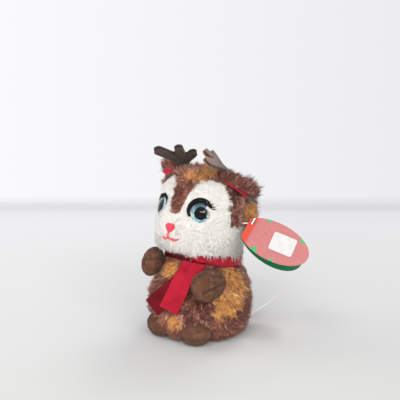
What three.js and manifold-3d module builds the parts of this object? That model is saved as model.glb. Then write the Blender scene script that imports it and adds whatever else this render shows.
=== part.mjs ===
// A small seated plush reindeer with felt-like antlers, glitter eyes, a ribbon scarf,
// a folded hang tag and a sewn-in care label.
// Millimetres, +Z up. The toy faces -Y and its left side is +X.
// The origin is the middle of the seat, on the surface that the toy sits on.
// Azimuth is turned about Z from the front (-Y) towards the toy's left (+X).

import * as THREE from 'three';
import { mergeVertices } from 'three/addons/utils/BufferGeometryUtils.js';
import Module from 'manifold-3d';

const wasm = await Module();
wasm.setup();

const { degToRad, lerp, smoothstep } = THREE.MathUtils;

// Clearances
const SEAM_GAP = 0.3;
const SWING_STEPS = 4;

// Plush fabric: backing with its dense pile
const PLUSH = 3;

// Body
const BASE_RADIUS = 28;
const HIP_RADIUS = 34;
const HIP_HEIGHT = 8;
const BELLY_RADIUS = 37;
const BELLY_HEIGHT = 21;
const SHOULDER_RADIUS = 34;
const SHOULDER_HEIGHT = 42;
const BELLY_DEPTH = 1.1;
const BELLY_LEAN = 3;
const SEAT_THICKNESS = 1.6;
const SEAT_COLUMNS = 28;
const POUCH_RADIUS = 21;
const POUCH_THICKNESS = 14;

// Neck seam: higher under the chin than at the nape
const NECK_RADIUS = 29;
const NECK_HEIGHT = 59.2;
const NECK_TILT = 15;
const NECK_TURN = { low: -10, high: 10 };

// Head
const JOWL_RADIUS = 30.6;
const JOWL_RISE = 7.8;
const HEAD_RADIUS = 38;
const JAW = { out: 0.8, up: 0.55 };
const HEAD_HEIGHT = 94.5;
const CROWN_RISE = 31.5;
const FACE_DEPTH = 0.85;
const FACE_TOP_OF_JOWL = 84;
const MUZZLE_SWELL = 10.5;
const MUZZLE_HEIGHT = 84;
const MUZZLE_SPREAD = 11;
const CHEEK_SWELL = 4;
const CHEEK_AZIMUTH = 52;
const CHEEK_HEIGHT = 76;
const CHEEK_SPREAD = 12;

// White face panel: two round lobes over the eyes, a muzzle and the jowls
const LOBE_AZIMUTH = 33;
const LOBE_SIDE = 23.5;
const LOBE_FORWARD = 27.5;
const LOBE_HEIGHT = 99;
const LOBE_HALF_WIDTH = 19.5;
const LOBE_HALF_HEIGHT = 25.5;
const BRIDGE_RADIUS = 19;
const BRIDGE_HEIGHT = 83;
const JOWL_SEAM_HEIGHT = 90;
const JOWL_SEAM_TILT = 8;

// Eyes
const EYE_RADIUS = 7.7;
const EYE_AZIMUTH = 28.5;
const EYE_HEIGHT = 102.3;
const EYE_SINK = 1.4;
const EYE_TURN = 8;
const EYE_DISC = 0.9;
const LENS_RISE = 3.9;
const SHANK_RADIUS = 2;
const SHANK_LENGTH = 7;
const WASHER_RADIUS = 6;
const WASHER_THICKNESS = 1;
const LID_WIDTH = 3;
const LID_SHIFT = 1.1;
const LID_THICKNESS = 1;
const LID_FROM = 28;
const LID_TO = 205;

// Stitched nose and mouth
const NOSE_WIDTH = 8;
const NOSE_HEIGHT = 7;
const NOSE_CENTRE = 90.4;
const STITCH_RISE = 1;
const MOUTH_LINE = 1.1;
const MOUTH_DROP = 4.6;
const MOUTH_HALF_WIDTH = 5;
const MOUTH_CURL = 1.4;

// Ears
const EAR_LENGTH = 20;
const EAR_HALF_WIDTH = 7.6;
const EAR_ROOT_HALF_WIDTH = 3.3;
const EAR_BACK_THICKNESS = 2.2;
const EAR_LINING_THICKNESS = 0.9;
const EAR_CUP = 2.4;
const EAR_LINING_MARGIN = 0.8;
const EAR_TIP_HALF_WIDTH = 0.6;
const EAR_AZIMUTH = 85;
const EAR_ROOT_HEIGHT = 119;
const EAR_ROOT_DEPTH = 4;
const EAR_OUTWARD = new THREE.Vector3(0.927, 0.073, -0.366);
const EAR_LINING_FACES = new THREE.Vector3(-0.242, -0.628, -0.74);
const EAR_REST = { left: { raise: 0, twist: 0 }, right: { raise: 25, twist: -30 } };
const EAR_FOLD = { left: { low: -25, high: 6 }, right: { low: -5, high: 35 } };

// Antlers: two sewn layers cut as a stem with three round fingers
const ANTLER_ROOT_AZIMUTH = 121;
const ANTLER_ROOT_HEIGHT = 117;
const ANTLER_ROOT_DEPTH = 4;
const ANTLER_LAYER = 1.6;
const ANTLER_STEM_WIDTH = 8;
const ANTLER_FINGER_WIDTH = 7.8;
const ANTLER_STEM = 21;
const ANTLER_FINGERS = [
  { along: 46, aside: 17 },
  { along: 42.5, aside: 0 },
  { along: 31, aside: -11.5 },
];
const ANTLER_ALONG = new THREE.Vector3(-0.242, -0.687, 0.687);
const ANTLER_FACES = new THREE.Vector3(0.535, 0.495, 0.685);
const ANTLER_BEND = { low: -12, high: 2 };

// Arms, sewn to the shoulders and swung about the seam
const ARM_AZIMUTH = 57;
const ARM_HEIGHT = 49;
const ARM_LENGTH = 28;
const ARM_WIDTH = 22;
const ARM_THICKNESS = 15;
const ARM_REACH = 11.2;
const ARM_SPLAY = 7;
const ARM_TAPER = 0.12;
const ARM_COVER = 1.8;
const ARM_PRESSED = 1.5;
const ARM_SEAM_RADIUS = 3.2;
const ARM_REST = { left: -16, right: 26 };

// Feet
const FOOT_AZIMUTH = 28;
const FOOT_REACH = 35.5;
const FOOT_HEIGHT = 8.8;
const FOOT_LENGTH = 21;
const FOOT_WIDTH = 24;
const FOOT_THICKNESS = 18.6;
const FOOT_COVER = 1.8;

// Tail
const TAIL_HEIGHT = 13;
const TAIL_LENGTH = 20;
const TAIL_WIDTH = 11;

// Ribbon scarf
const BAND_WIDTH = 8.5;
const BAND_THICKNESS = 1;
const BAND_SINK = 0.6;
const GROOVE_WALL = 2;
const RIBBON_WIDTH = 15;
const RIBBON_THICKNESS = 1;
const RIBBON_CUP = 0.8;
const RIBBON_GATHER = { width: 0.88, over: 0.25 };
const RIBBON_FACING = 18;
// Courses of the two free ends: azimuth, drop below the neck seam's height and lift off the cover
const FRONT_TAIL = [
  { azimuth: 26, drop: -2.3, lift: 6 },
  { azimuth: 14.4, drop: 11.2, lift: 6.6 },
  { azimuth: 10.5, drop: 21.2, lift: 5.5 },
  { azimuth: 5.5, drop: 30.7, lift: 6.5 },
];
const BACK_TAIL = [
  { azimuth: 23, drop: 3.2, lift: 3 },
  { azimuth: 11, drop: 12.5, lift: 3 },
  { azimuth: -4, drop: 22.7, lift: 3.5 },
  { azimuth: -20.8, drop: 33.6, lift: 5 },
];
const KNOT_AZIMUTH = 31;
const KNOT_WIDTH = 15;
const KNOT_HEIGHT = 9;
const KNOT_RAISE = 0.5;
const KNOT_THICKNESS = 7;
const KNOT_STAND = 0.38;
const TAIL_LIFT = { low: 0, high: 30 };

// Hang tag: a folded card of two oval leaves on a plastic loop
const TAG_AZIMUTH = 80;
const TAG_HEIGHT = 90.6;
const TAG_STANDOFF = 6.2;
const TAG_FACING = 36.5;
const TAG_ELEVATION = 37;
const TAG_ROLL = -28.7;
const LEAF_HALF_LENGTH = 27.5;
const LEAF_HALF_WIDTH = 15;
const LEAF_CUT = 23.5;
const LEAF_THICKNESS = 0.5;
const LEAF_OPENING = 21;
const LEAF_HOLE_RADIUS = 1.6;
const HOLE_FROM_FOLD = 2.8;
const HOLE_ASIDE = 6.4;
const FILAMENT_RADIUS = 0.45;
const FILAMENT_HEAD = 2.6;
const FILAMENT_BAR = 1.3;
const LOOP_BEND = { behindTag: 1.6, beforeHead: 1.4, insideCover: 1 };
const LOOP_ENTRY = { azimuth: 83, height: 92.6 };
const STICKER_LENGTH = 18;
const STICKER_WIDTH = 14.3;
const STICKER_THICKNESS = 0.2;
const STICKER_ALONG = 30;
const STICKER_ASIDE = 1;
const STICKER_TURN = 4.7;
const STICKER_CORNER = 1.6;

// Care label
const LABEL_AZIMUTH = 126.5;
const LABEL_HEIGHT = 6.8;
const LABEL_LENGTH = 43;
const LABEL_WIDTH = 25;
const LABEL_THICKNESS = 0.6;
const LABEL_ROOT_DEPTH = 3;
const LABEL_OUTWARD = new THREE.Vector3(0.586, 0.607, 0.536);
const LABEL_ACROSS = new THREE.Vector3(0.505, -0.795, 0.36);
const LABEL_FLAP = { low: -15, high: 30 };

// Finishes: colour, roughness and metalness of each material
const FINISHES = {
  brownPlush: ['#7a4a3a', 0.95, 0],
  whitePlush: ['#ece6df', 0.95, 0],
  velboa: ['#6b4a35', 0.85, 0],
  filling: ['#f2f0ea', 1, 0],
  pouchCloth: ['#d8d4c8', 0.9, 0],
  seatCloth: ['#5d3f30', 0.9, 0],
  satin: ['#b0142e', 0.4, 0],
  clearPlastic: ['#dff0f4', 0.05, 0],
  glitterDisc: ['#5fa9bf', 0.35, 0.2],
  whitePlastic: ['#e9e9e6', 0.45, 0],
  blackFelt: ['#15120f', 0.9, 0],
  redThread: ['#e0344a', 0.6, 0],
  antlerCloth: ['#4a372b', 0.85, 0],
  redCard: ['#d85a5e', 0.5, 0],
  greenCard: ['#0f7a4a', 0.5, 0],
  sticker: ['#f4f4f2', 0.55, 0],
  labelSatin: ['#f3e6e4', 0.5, 0],
};

// Solids: closed meshes for joining and cutting
function toSolid(geometry) {
  const bare = geometry.clone();
  bare.deleteAttribute('normal');
  bare.deleteAttribute('uv');
  const merged = mergeVertices(bare, 1e-4);
  const corners = merged.index.array;
  const kept = [];
  for (let i = 0; i < corners.length; i += 3) {
    const [a, b, c] = [corners[i], corners[i + 1], corners[i + 2]];
    if (a !== b && b !== c && c !== a) kept.push(a, b, c);
  }
  const mesh = new wasm.Mesh({
    numProp: 3,
    vertProperties: new Float32Array(merged.attributes.position.array),
    triVerts: new Uint32Array(kept),
  });
  return new wasm.Manifold(mesh);
}

function toGeometry(solid) {
  const mesh = solid.getMesh();
  const geometry = new THREE.BufferGeometry();
  geometry.setAttribute('position', new THREE.BufferAttribute(new Float32Array(mesh.vertProperties), 3));
  geometry.setIndex(new THREE.BufferAttribute(new Uint32Array(mesh.triVerts), 1));
  return geometry;
}

// The same shape on the toy's other side
function mirrored(geometry) {
  const copy = geometry.clone();
  copy.scale(-1, 1, 1);
  const corners = copy.index.array;
  for (let i = 0; i < corners.length; i += 3) {
    [corners[i], corners[i + 1]] = [corners[i + 1], corners[i]];
  }
  return copy;
}

function onSide(side, geometry) {
  return side === 'left' ? geometry : mirrored(geometry);
}

// Placement from an origin, a local X direction and a local Z direction
function placement(origin, along, facing) {
  const z = facing.clone().normalize();
  const x = along.clone().addScaledVector(z, -along.dot(z)).normalize();
  const y = new THREE.Vector3().crossVectors(z, x);
  return new THREE.Matrix4().makeBasis(x, y, z).setPosition(origin);
}

function placed(geometry, ...matrices) {
  const copy = geometry.clone();
  for (const matrix of matrices) copy.applyMatrix4(matrix);
  return copy;
}

function block(width, depth, height, centre) {
  return new THREE.BoxGeometry(width, depth, height).translate(...centre);
}

// Disc or bar along Z between two heights
function disc(radius, low, high, columns = 24) {
  const geometry = new THREE.CylinderGeometry(radius, radius, high - low, columns);
  return geometry.rotateX(Math.PI / 2).translate(0, 0, (low + high) / 2);
}

// Stuffed limb: an egg whose length runs along X, thicker towards +X by its taper
function pod({ length, width, thickness, taper = 0, columns = 18, rows = 11 }) {
  const geometry = new THREE.SphereGeometry(1, columns, rows).rotateZ(-Math.PI / 2);
  const position = geometry.attributes.position;
  for (let i = 0; i < position.count; i++) {
    const along = position.getX(i);
    const girth = 1 + taper * along;
    position.setXYZ(
      i,
      along * length / 2,
      position.getY(i) * girth * width / 2,
      position.getZ(i) * girth * thickness / 2,
    );
  }
  return geometry;
}

// Closed strip through stations, each with a centre, a side and a facing direction and a half width.
// Its middle is cupped away from the way it faces.
function strip(stations, { thickness, lift = 0, cup = 0, across = 4 }) {
  const positions = [];
  const ringSize = 2 * (across + 1);
  for (const { centre, side, facing, halfWidth, cupping = 1 } of stations) {
    for (let k = 0; k < ringSize; k++) {
      const upper = k <= across;
      const step = upper ? k : ringSize - 1 - k;
      const offset = lerp(-1, 1, step / across);
      const height = lift + (upper ? thickness / 2 : -thickness / 2) - cup * cupping * (1 - offset * offset);
      const point = centre.clone()
        .addScaledVector(side, offset * halfWidth)
        .addScaledVector(facing, height);
      positions.push(point.x, point.y, point.z);
    }
  }
  const corners = [];
  for (let s = 0; s < stations.length - 1; s++) {
    for (let k = 0; k < ringSize; k++) {
      const a = s * ringSize + k;
      const b = s * ringSize + (k + 1) % ringSize;
      corners.push(a, b, a + ringSize, b, b + ringSize, a + ringSize);
    }
  }
  const last = (stations.length - 1) * ringSize;
  for (let k = 0; k < across; k++) {
    const mate = ringSize - 1 - k;
    corners.push(k, mate, k + 1, k + 1, mate, mate - 1);
    corners.push(last + k, last + k + 1, last + mate, last + k + 1, last + mate - 1, last + mate);
  }
  const geometry = new THREE.BufferGeometry();
  geometry.setAttribute('position', new THREE.Float32BufferAttribute(positions, 3));
  geometry.setIndex(corners);
  return geometry;
}

// Round wire with closed ends through a few points
function wire(points, radius, steps, sides = 4) {
  const section = new THREE.Shape().absarc(0, 0, radius, 0, 2 * Math.PI, false);
  const path = new THREE.CatmullRomCurve3(points);
  return new THREE.ExtrudeGeometry(section, { steps, extrudePath: path, curveSegments: sides, bevelEnabled: false });
}

// Cuts a swinging piece so that it clears a neighbour over its whole range
function clearOf(solid, neighbour, hinge, range) {
  let cut = solid;
  for (let step = 0; step <= SWING_STEPS; step++) {
    const angle = lerp(range.low, range.high, step / SWING_STEPS);
    cut = cut.subtract(toSolid(placed(neighbour, turned(hinge, -angle))));
  }
  return cut;
}

function turned({ origin, axis }, degrees) {
  const back = new THREE.Matrix4().makeTranslation(-origin.x, -origin.y, -origin.z);
  const turn = new THREE.Matrix4().makeRotationAxis(axis.clone().normalize(), degToRad(degrees));
  return new THREE.Matrix4().makeTranslation(origin.x, origin.y, origin.z).multiply(turn).multiply(back);
}

// Plush form: a profile of radius and height turned about Z, flattened in front and swelled by soft bumps
function plushForm({ profile, flatten = () => 1, lean = () => 0, bumps = [] }) {
  function shape(point) {
    const radial = new THREE.Vector3(point.x, point.y, 0);
    if (radial.lengthSq() > 0) radial.normalize();
    if (point.y < 0) point.y *= flatten(point.z);
    point.y -= lean(point.z);
    let swell = 0;
    for (const { centre, height, spread } of bumps) {
      swell += height * Math.exp(-point.distanceToSquared(centre) / (2 * spread * spread));
    }
    return point.addScaledVector(radial, swell);
  }

  function insetProfile(inset) {
    return profile.map((point, i) => {
      const before = profile[Math.max(i - 1, 0)];
      const after = profile[Math.min(i + 1, profile.length - 1)];
      const run = after.clone().sub(before).normalize();
      const radius = point.x === 0 ? 0 : Math.max(point.x - inset * run.y, 0);
      const height = point.x === 0 ? point.y - inset : point.y + inset * run.x;
      return new THREE.Vector2(radius, height);
    });
  }

  function radiusAt(height) {
    const above = profile.findIndex((point) => point.y >= height);
    if (above <= 0) return profile[above === 0 ? 0 : profile.length - 1].x;
    const [low, high] = [profile[above - 1], profile[above]];
    return lerp(low.x, high.x, (height - low.y) / (high.y - low.y));
  }

  function pointAt(azimuth, height) {
    const angle = degToRad(azimuth);
    const radius = radiusAt(height);
    return shape(new THREE.Vector3(radius * Math.sin(angle), -radius * Math.cos(angle), height));
  }

  // Local Z points out of the surface, local X round it towards the left, local Y up it
  function frameAt(azimuth, height, lift = 0) {
    const reach = 1;
    const round = pointAt(azimuth + reach, height).sub(pointAt(azimuth - reach, height));
    const up = pointAt(azimuth, height + reach).sub(pointAt(azimuth, height - reach));
    const outward = new THREE.Vector3().crossVectors(round, up).normalize();
    return placement(pointAt(azimuth, height).addScaledVector(outward, lift), round, outward);
  }

  // Closed geometry at an inset from the outer surface; reach carries its flat ends further out
  function geometry({ inset = 0, columns = 32, every = 1, reach = 0 } = {}) {
    const run = insetProfile(inset).filter((_, i) => i % every === 0 || i === profile.length - 1);
    const foot = run[0];
    const outline = [new THREE.Vector2(0, foot.y - reach)];
    if (reach > 0) outline.push(new THREE.Vector2(foot.x, foot.y - reach));
    outline.push(...run);
    const top = run[run.length - 1];
    if (top.x > 0) {
      if (reach > 0) outline.push(new THREE.Vector2(top.x, top.y + reach));
      outline.push(new THREE.Vector2(0, top.y + reach));
    }
    const lathe = new THREE.LatheGeometry(outline, columns).rotateX(Math.PI / 2);
    const position = lathe.attributes.position;
    const point = new THREE.Vector3();
    for (let i = 0; i < position.count; i++) {
      shape(point.fromBufferAttribute(position, i));
      position.setXYZ(i, point.x, point.y, point.z);
    }
    return lathe;
  }

  return { pointAt, frameAt, geometry };
}

function smooth(points, count) {
  const curve = new THREE.SplineCurve(points.map(([radius, height]) => new THREE.Vector2(radius, height)));
  return curve.getPoints(count);
}

function bumpOn(radius, azimuth, centreHeight, height, spread) {
  const angle = degToRad(azimuth);
  const centre = new THREE.Vector3(radius * Math.sin(angle), -radius * Math.cos(angle), centreHeight);
  return { centre, height, spread };
}

// Body and head forms share a round neck, cut by the tilted seam plane
const neckColumn = (NECK_RADIUS + PLUSH) * Math.tan(degToRad(NECK_TILT)) + BAND_WIDTH / 2;
const neckFrame = new THREE.Matrix4()
  .makeRotationX(-degToRad(NECK_TILT))
  .setPosition(0, 0, NECK_HEIGHT);

const neckward = (height) => smoothstep(height, (BELLY_HEIGHT + SHOULDER_HEIGHT) / 2, NECK_HEIGHT - BAND_WIDTH / 2);
const bodyForm = plushForm({
  profile: [
    ...smooth([
      [BASE_RADIUS, 0],
      [HIP_RADIUS, HIP_HEIGHT],
      [BELLY_RADIUS, BELLY_HEIGHT],
      [SHOULDER_RADIUS, SHOULDER_HEIGHT],
      [NECK_RADIUS, NECK_HEIGHT],
    ], 10),
    new THREE.Vector2(NECK_RADIUS, NECK_HEIGHT + neckColumn),
  ],
  flatten: (height) => lerp(BELLY_DEPTH, 1, neckward(height)),
  lean: (height) => BELLY_LEAN * smoothstep(height, 0, HIP_HEIGHT) * (1 - neckward(height)),
});

function crownArc(count) {
  const points = [];
  for (let i = 1; i <= count; i++) {
    const angle = i / count * Math.PI / 2;
    const radius = i === count ? 0 : HEAD_RADIUS * Math.cos(angle);
    points.push(new THREE.Vector2(radius, HEAD_HEIGHT + CROWN_RISE * Math.sin(angle)));
  }
  return points;
}

const jowlHeight = NECK_HEIGHT + JOWL_RISE;
const headForm = plushForm({
  profile: [
    new THREE.Vector2(NECK_RADIUS, NECK_HEIGHT - neckColumn),
    ...smooth([
      [NECK_RADIUS, NECK_HEIGHT],
      [JOWL_RADIUS, jowlHeight],
      [lerp(JOWL_RADIUS, HEAD_RADIUS, JAW.out), lerp(jowlHeight, HEAD_HEIGHT, JAW.up)],
      [HEAD_RADIUS, HEAD_HEIGHT],
    ], 7),
    ...crownArc(7),
  ],
  flatten: (height) => lerp(1, FACE_DEPTH, smoothstep(height, NECK_HEIGHT + BAND_WIDTH, FACE_TOP_OF_JOWL)),
  bumps: [
    bumpOn(HEAD_RADIUS * FACE_DEPTH, 0, MUZZLE_HEIGHT, MUZZLE_SWELL, MUZZLE_SPREAD),
    bumpOn(HEAD_RADIUS, CHEEK_AZIMUTH, CHEEK_HEIGHT, CHEEK_SWELL, CHEEK_SPREAD),
    bumpOn(HEAD_RADIUS, -CHEEK_AZIMUTH, CHEEK_HEIGHT, CHEEK_SWELL, CHEEK_SPREAD),
  ],
});

// Neck seam: everything above or below it, and the groove that the scarf draws in
const WORLD = 400;
const grooveHalf = BAND_WIDTH / 2 + SEAM_GAP;
const grooveRadius = NECK_RADIUS - BAND_SINK;

function aboveNeck(gap) {
  return toSolid(placed(block(WORLD, WORLD, WORLD, [0, 0, WORLD / 2 + gap]), neckFrame));
}

function belowNeck(gap) {
  return toSolid(placed(block(WORLD, WORLD, WORLD, [0, 0, -WORLD / 2 - gap]), neckFrame));
}

function ring(inner, outer, halfHeight, columns) {
  const outline = [
    [inner, -halfHeight],
    [outer, -halfHeight],
    [outer, halfHeight],
    [inner, halfHeight],
    [inner, -halfHeight],
  ].map(([radius, height]) => new THREE.Vector2(radius, height));
  return new THREE.LatheGeometry(outline, columns).rotateX(Math.PI / 2);
}

// The groove, grown by a wall that the hollows and the stuffing stay clear of, or shrunk by a gap
function groove(wall) {
  return toSolid(placed(ring(grooveRadius - wall, WORLD / 4, grooveHalf + wall, 36), neckFrame));
}

const bodySolid = toSolid(bodyForm.geometry()).intersect(belowNeck(SEAM_GAP / 2)).subtract(groove(0));
const headSolid = toSolid(headForm.geometry()).intersect(aboveNeck(SEAM_GAP / 2)).subtract(groove(0));
const grownBody = bodyForm.geometry({ inset: -SEAM_GAP });
const grownHead = headForm.geometry({ inset: -SEAM_GAP });

// Body pieces
function bodyCover() {
  const hollow = toSolid(bodyForm.geometry({ inset: PLUSH, columns: SEAT_COLUMNS, reach: PLUSH }));
  return toGeometry(bodySolid.subtract(hollow.subtract(groove(GROOVE_WALL))));
}

function seatPanel() {
  const opening = bodyForm.geometry({ inset: PLUSH + SEAM_GAP, columns: SEAT_COLUMNS, reach: PLUSH });
  const slab = block(WORLD, WORLD, SEAT_THICKNESS, [0, 0, SEAT_THICKNESS / 2]);
  return toGeometry(toSolid(opening).intersect(toSolid(slab)));
}

const pouchCentre = SEAT_THICKNESS + SEAM_GAP + POUCH_THICKNESS / 2;

function pelletPouch(grow = 0) {
  const size = 2 * (POUCH_RADIUS + grow);
  const bag = pod({ length: size, width: size, thickness: POUCH_THICKNESS + 2 * grow, columns: 16, rows: 10 });
  return bag.translate(0, 0, pouchCentre);
}

function bodyStuffing() {
  const filling = toSolid(bodyForm.geometry({ inset: PLUSH + SEAM_GAP, columns: 16 }));
  const floor = SEAT_THICKNESS + SEAM_GAP;
  return toGeometry(filling
    .intersect(belowNeck(SEAM_GAP))
    .intersect(toSolid(block(WORLD, WORLD, WORLD, [0, 0, WORLD / 2 + floor])))
    .subtract(groove(GROOVE_WALL + SEAM_GAP))
    .subtract(toSolid(pelletPouch(SEAM_GAP))));
}

function tail() {
  const nub = pod({ length: TAIL_LENGTH, width: TAIL_WIDTH, thickness: TAIL_WIDTH, columns: 12, rows: 8 });
  const outward = new THREE.Vector3(0, 0.87, 0.5);
  const seat = placement(bodyForm.pointAt(180, TAIL_HEIGHT), outward, new THREE.Vector3(0, 0, 1));
  return toGeometry(toSolid(placed(nub, seat)).subtract(toSolid(grownBody)));
}

// Feet, resting on the surface and cut to the body
function footPod(inset) {
  const egg = pod({
    length: FOOT_LENGTH - 2 * inset,
    width: FOOT_WIDTH - 2 * inset,
    thickness: FOOT_THICKNESS - 2 * inset,
    columns: inset > 0 ? 12 : 18,
    rows: inset > 0 ? 7 : 11,
  });
  const angle = degToRad(FOOT_AZIMUTH);
  const outward = new THREE.Vector3(Math.sin(angle), -Math.cos(angle), 0);
  const centre = outward.clone().multiplyScalar(FOOT_REACH).setZ(FOOT_HEIGHT);
  return toSolid(placed(egg, placement(centre, outward, new THREE.Vector3(0, 0, 1))));
}

function footCover() {
  const ground = toSolid(block(WORLD, WORLD, WORLD, [0, 0, -WORLD / 2]));
  return toGeometry(footPod(0).subtract(ground).subtract(footPod(FOOT_COVER)).subtract(toSolid(grownBody)));
}

function footStuffing() {
  const ground = toSolid(block(WORLD, WORLD, WORLD, [0, 0, SEAM_GAP - WORLD / 2]));
  return toGeometry(footPod(FOOT_COVER + SEAM_GAP).subtract(ground).subtract(toSolid(grownBody)));
}

// Arms: flat against the plane that touches the shoulder, so they swing without rubbing the body
const armSeat = bodyForm.frameAt(ARM_AZIMUTH, ARM_HEIGHT, SEAM_GAP);

function armPod(inset, restAngle) {
  const egg = pod({
    length: ARM_LENGTH - 2 * inset,
    width: ARM_WIDTH - 2 * inset,
    thickness: ARM_THICKNESS - 2 * inset,
    taper: ARM_TAPER,
    columns: inset > 0 ? 12 : 18,
    rows: inset > 0 ? 7 : 11,
  });
  const lift = new THREE.Matrix4().makeTranslation(ARM_REACH, 0, ARM_THICKNESS / 2 - ARM_PRESSED);
  const splay = new THREE.Matrix4().makeRotationY(-degToRad(ARM_SPLAY));
  const swing = new THREE.Matrix4().makeRotationZ(degToRad(180 - restAngle));
  return toSolid(placed(egg, lift, splay, swing, armSeat));
}

function aboveArmSeat(height) {
  return toSolid(placed(block(WORLD, WORLD, WORLD, [0, 0, WORLD / 2 + height]), armSeat));
}

function armCover(restAngle) {
  const hollow = armPod(ARM_COVER, restAngle).intersect(aboveArmSeat(ARM_COVER));
  const opening = toSolid(placed(disc(ARM_SEAM_RADIUS, -ARM_COVER, 2 * ARM_COVER, 12), armSeat));
  return toGeometry(armPod(0, restAngle).intersect(aboveArmSeat(0)).subtract(hollow).subtract(opening));
}

function armStuffing(restAngle) {
  return toGeometry(armPod(ARM_COVER + SEAM_GAP, restAngle).intersect(aboveArmSeat(ARM_COVER + SEAM_GAP)));
}

// Scarf: a band round the neck, its knot and two free tails
const bandInner = grooveRadius + SEAM_GAP;
const bandOuter = bandInner + BAND_THICKNESS;

function scarfBand() {
  return placed(ring(bandInner, bandOuter, BAND_WIDTH / 2, 36), neckFrame);
}

const knotAngle = degToRad(KNOT_AZIMUTH);
const knotOutward = new THREE.Vector3(Math.sin(knotAngle), -Math.cos(knotAngle), 0)
  .transformDirection(neckFrame);
const neckAxis = new THREE.Vector3(0, 0, 1).transformDirection(neckFrame);
const neckHinge = { origin: new THREE.Vector3(0, 0, NECK_HEIGHT), axis: neckAxis };
const knotCentre = neckHinge.origin.clone()
  .addScaledVector(neckAxis, KNOT_RAISE)
  .addScaledVector(knotOutward, bandOuter + KNOT_THICKNESS * KNOT_STAND);

function knotPod(grow) {
  const lump = pod({
    length: KNOT_WIDTH + 2 * grow,
    width: KNOT_HEIGHT + 2 * grow,
    thickness: KNOT_THICKNESS + 2 * grow,
    columns: 14,
    rows: 10,
  });
  const sideways = new THREE.Vector3().crossVectors(neckAxis, knotOutward);
  return placed(lump, placement(knotCentre, sideways, knotOutward));
}

function scarfKnot() {
  const band = toSolid(placed(disc(bandOuter + SEAM_GAP, -BAND_WIDTH, BAND_WIDTH, 40), neckFrame));
  const room = groove(-SEAM_GAP);
  const chest = toSolid(grownBody).subtract(room);
  const jowls = toSolid(grownHead).intersect(aboveNeck(0)).subtract(room);
  const tied = toSolid(knotPod(0)).subtract(band).subtract(chest);
  return toGeometry(clearOf(tied, toGeometry(jowls), neckHinge, NECK_TURN));
}

// Stations of a ribbon that hangs over the body; lift is measured from the cover
function ribbonStations(course) {
  const centres = course.map(({ azimuth, drop, lift }) => {
    const seat = bodyForm.frameAt(azimuth, NECK_HEIGHT - drop, lift);
    return new THREE.Vector3().setFromMatrixPosition(seat);
  });
  const path = new THREE.CatmullRomCurve3(centres);
  const stations = [];
  const steps = 8;
  for (let i = 0; i <= steps; i++) {
    const share = i / steps;
    const centre = path.getPoint(share);
    const along = path.getTangent(share);
    const facing = new THREE.Vector3(Math.sin(degToRad(RIBBON_FACING)), -Math.cos(degToRad(RIBBON_FACING)), 0.2);
    facing.addScaledVector(along, -facing.dot(along)).normalize();
    const side = new THREE.Vector3().crossVectors(along, facing).normalize();
    const gathered = lerp(RIBBON_GATHER.width, 1, smoothstep(share, 0, RIBBON_GATHER.over));
    stations.push({ centre, side, facing, halfWidth: RIBBON_WIDTH / 2 * gathered, cupping: 1 - 0.5 * share });
  }
  return stations;
}

// Both tails lift about one level line where they leave the knot
const tailHinge = { origin: ribbonStations(FRONT_TAIL)[0].centre, axis: new THREE.Vector3(-1, 0, 0) };

function scarfTail(course) {
  const ribbon = toSolid(strip(ribbonStations(course), { thickness: RIBBON_THICKNESS, cup: RIBBON_CUP }));
  const lifted = { low: TAIL_LIFT.low, high: 2 * TAIL_LIFT.high };
  return toGeometry(clearOf(ribbon, knotPod(SEAM_GAP), tailHinge, lifted));
}

// Head pieces
function whiteRegion(gap) {
  const reach = HEAD_RADIUS * 1.6;
  const lobes = [-1, 1].map((side) => {
    const lobe = disc(1, 0, reach, 28).scale(LOBE_HALF_WIDTH - gap, LOBE_HALF_HEIGHT - gap, 1);
    const angle = degToRad(side * LOBE_AZIMUTH);
    const outward = new THREE.Vector3(Math.sin(angle), -Math.cos(angle), 0);
    const across = new THREE.Vector3(Math.cos(angle), Math.sin(angle), 0);
    const centre = new THREE.Vector3(side * LOBE_SIDE, -LOBE_FORWARD, LOBE_HEIGHT)
      .addScaledVector(outward, -LOBE_FORWARD * 0.7);
    return toSolid(placed(lobe, placement(centre, across, outward)));
  });
  const bridge = disc(BRIDGE_RADIUS - gap, 0, reach, 24).rotateX(Math.PI / 2).translate(0, 0, BRIDGE_HEIGHT);
  const jowls = block(WORLD, WORLD, WORLD, [0, 0, -WORLD / 2 - gap])
    .rotateX(-degToRad(JOWL_SEAM_TILT))
    .translate(0, 0, JOWL_SEAM_HEIGHT);
  return lobes[0].add(lobes[1]).add(toSolid(bridge)).add(toSolid(jowls));
}

const headHollow = toSolid(headForm.geometry({ inset: PLUSH, columns: 16, reach: PLUSH })).subtract(groove(GROOVE_WALL));
const headShell = headSolid.subtract(headHollow);

const eyeFrame = headForm.frameAt(EYE_AZIMUTH, EYE_HEIGHT)
  .multiply(new THREE.Matrix4().makeRotationY(degToRad(EYE_TURN)));
const discBack = -EYE_SINK;
const lensBack = discBack + EYE_DISC + SEAM_GAP;
const washerTop = -PLUSH - WASHER_RADIUS * WASHER_RADIUS / (2 * HEAD_RADIUS * FACE_DEPTH) - SEAM_GAP;
const shankEnd = discBack - SHANK_LENGTH;

// Room for one eye: its seat in the pile, its shank and its washer
function eyeRoom() {
  return toSolid(disc(EYE_RADIUS + SEAM_GAP, discBack - SEAM_GAP, LENS_RISE * 2, 20))
    .add(toSolid(disc(SHANK_RADIUS + SEAM_GAP, shankEnd - SEAM_GAP, 0, 8)))
    .add(toSolid(disc(WASHER_RADIUS + SEAM_GAP, washerTop - WASHER_THICKNESS - SEAM_GAP, washerTop + SEAM_GAP, 12)));
}

function bothEyeRooms() {
  const left = placed(toGeometry(eyeRoom()), eyeFrame);
  return toSolid(left).add(toSolid(mirrored(left)));
}

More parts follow.
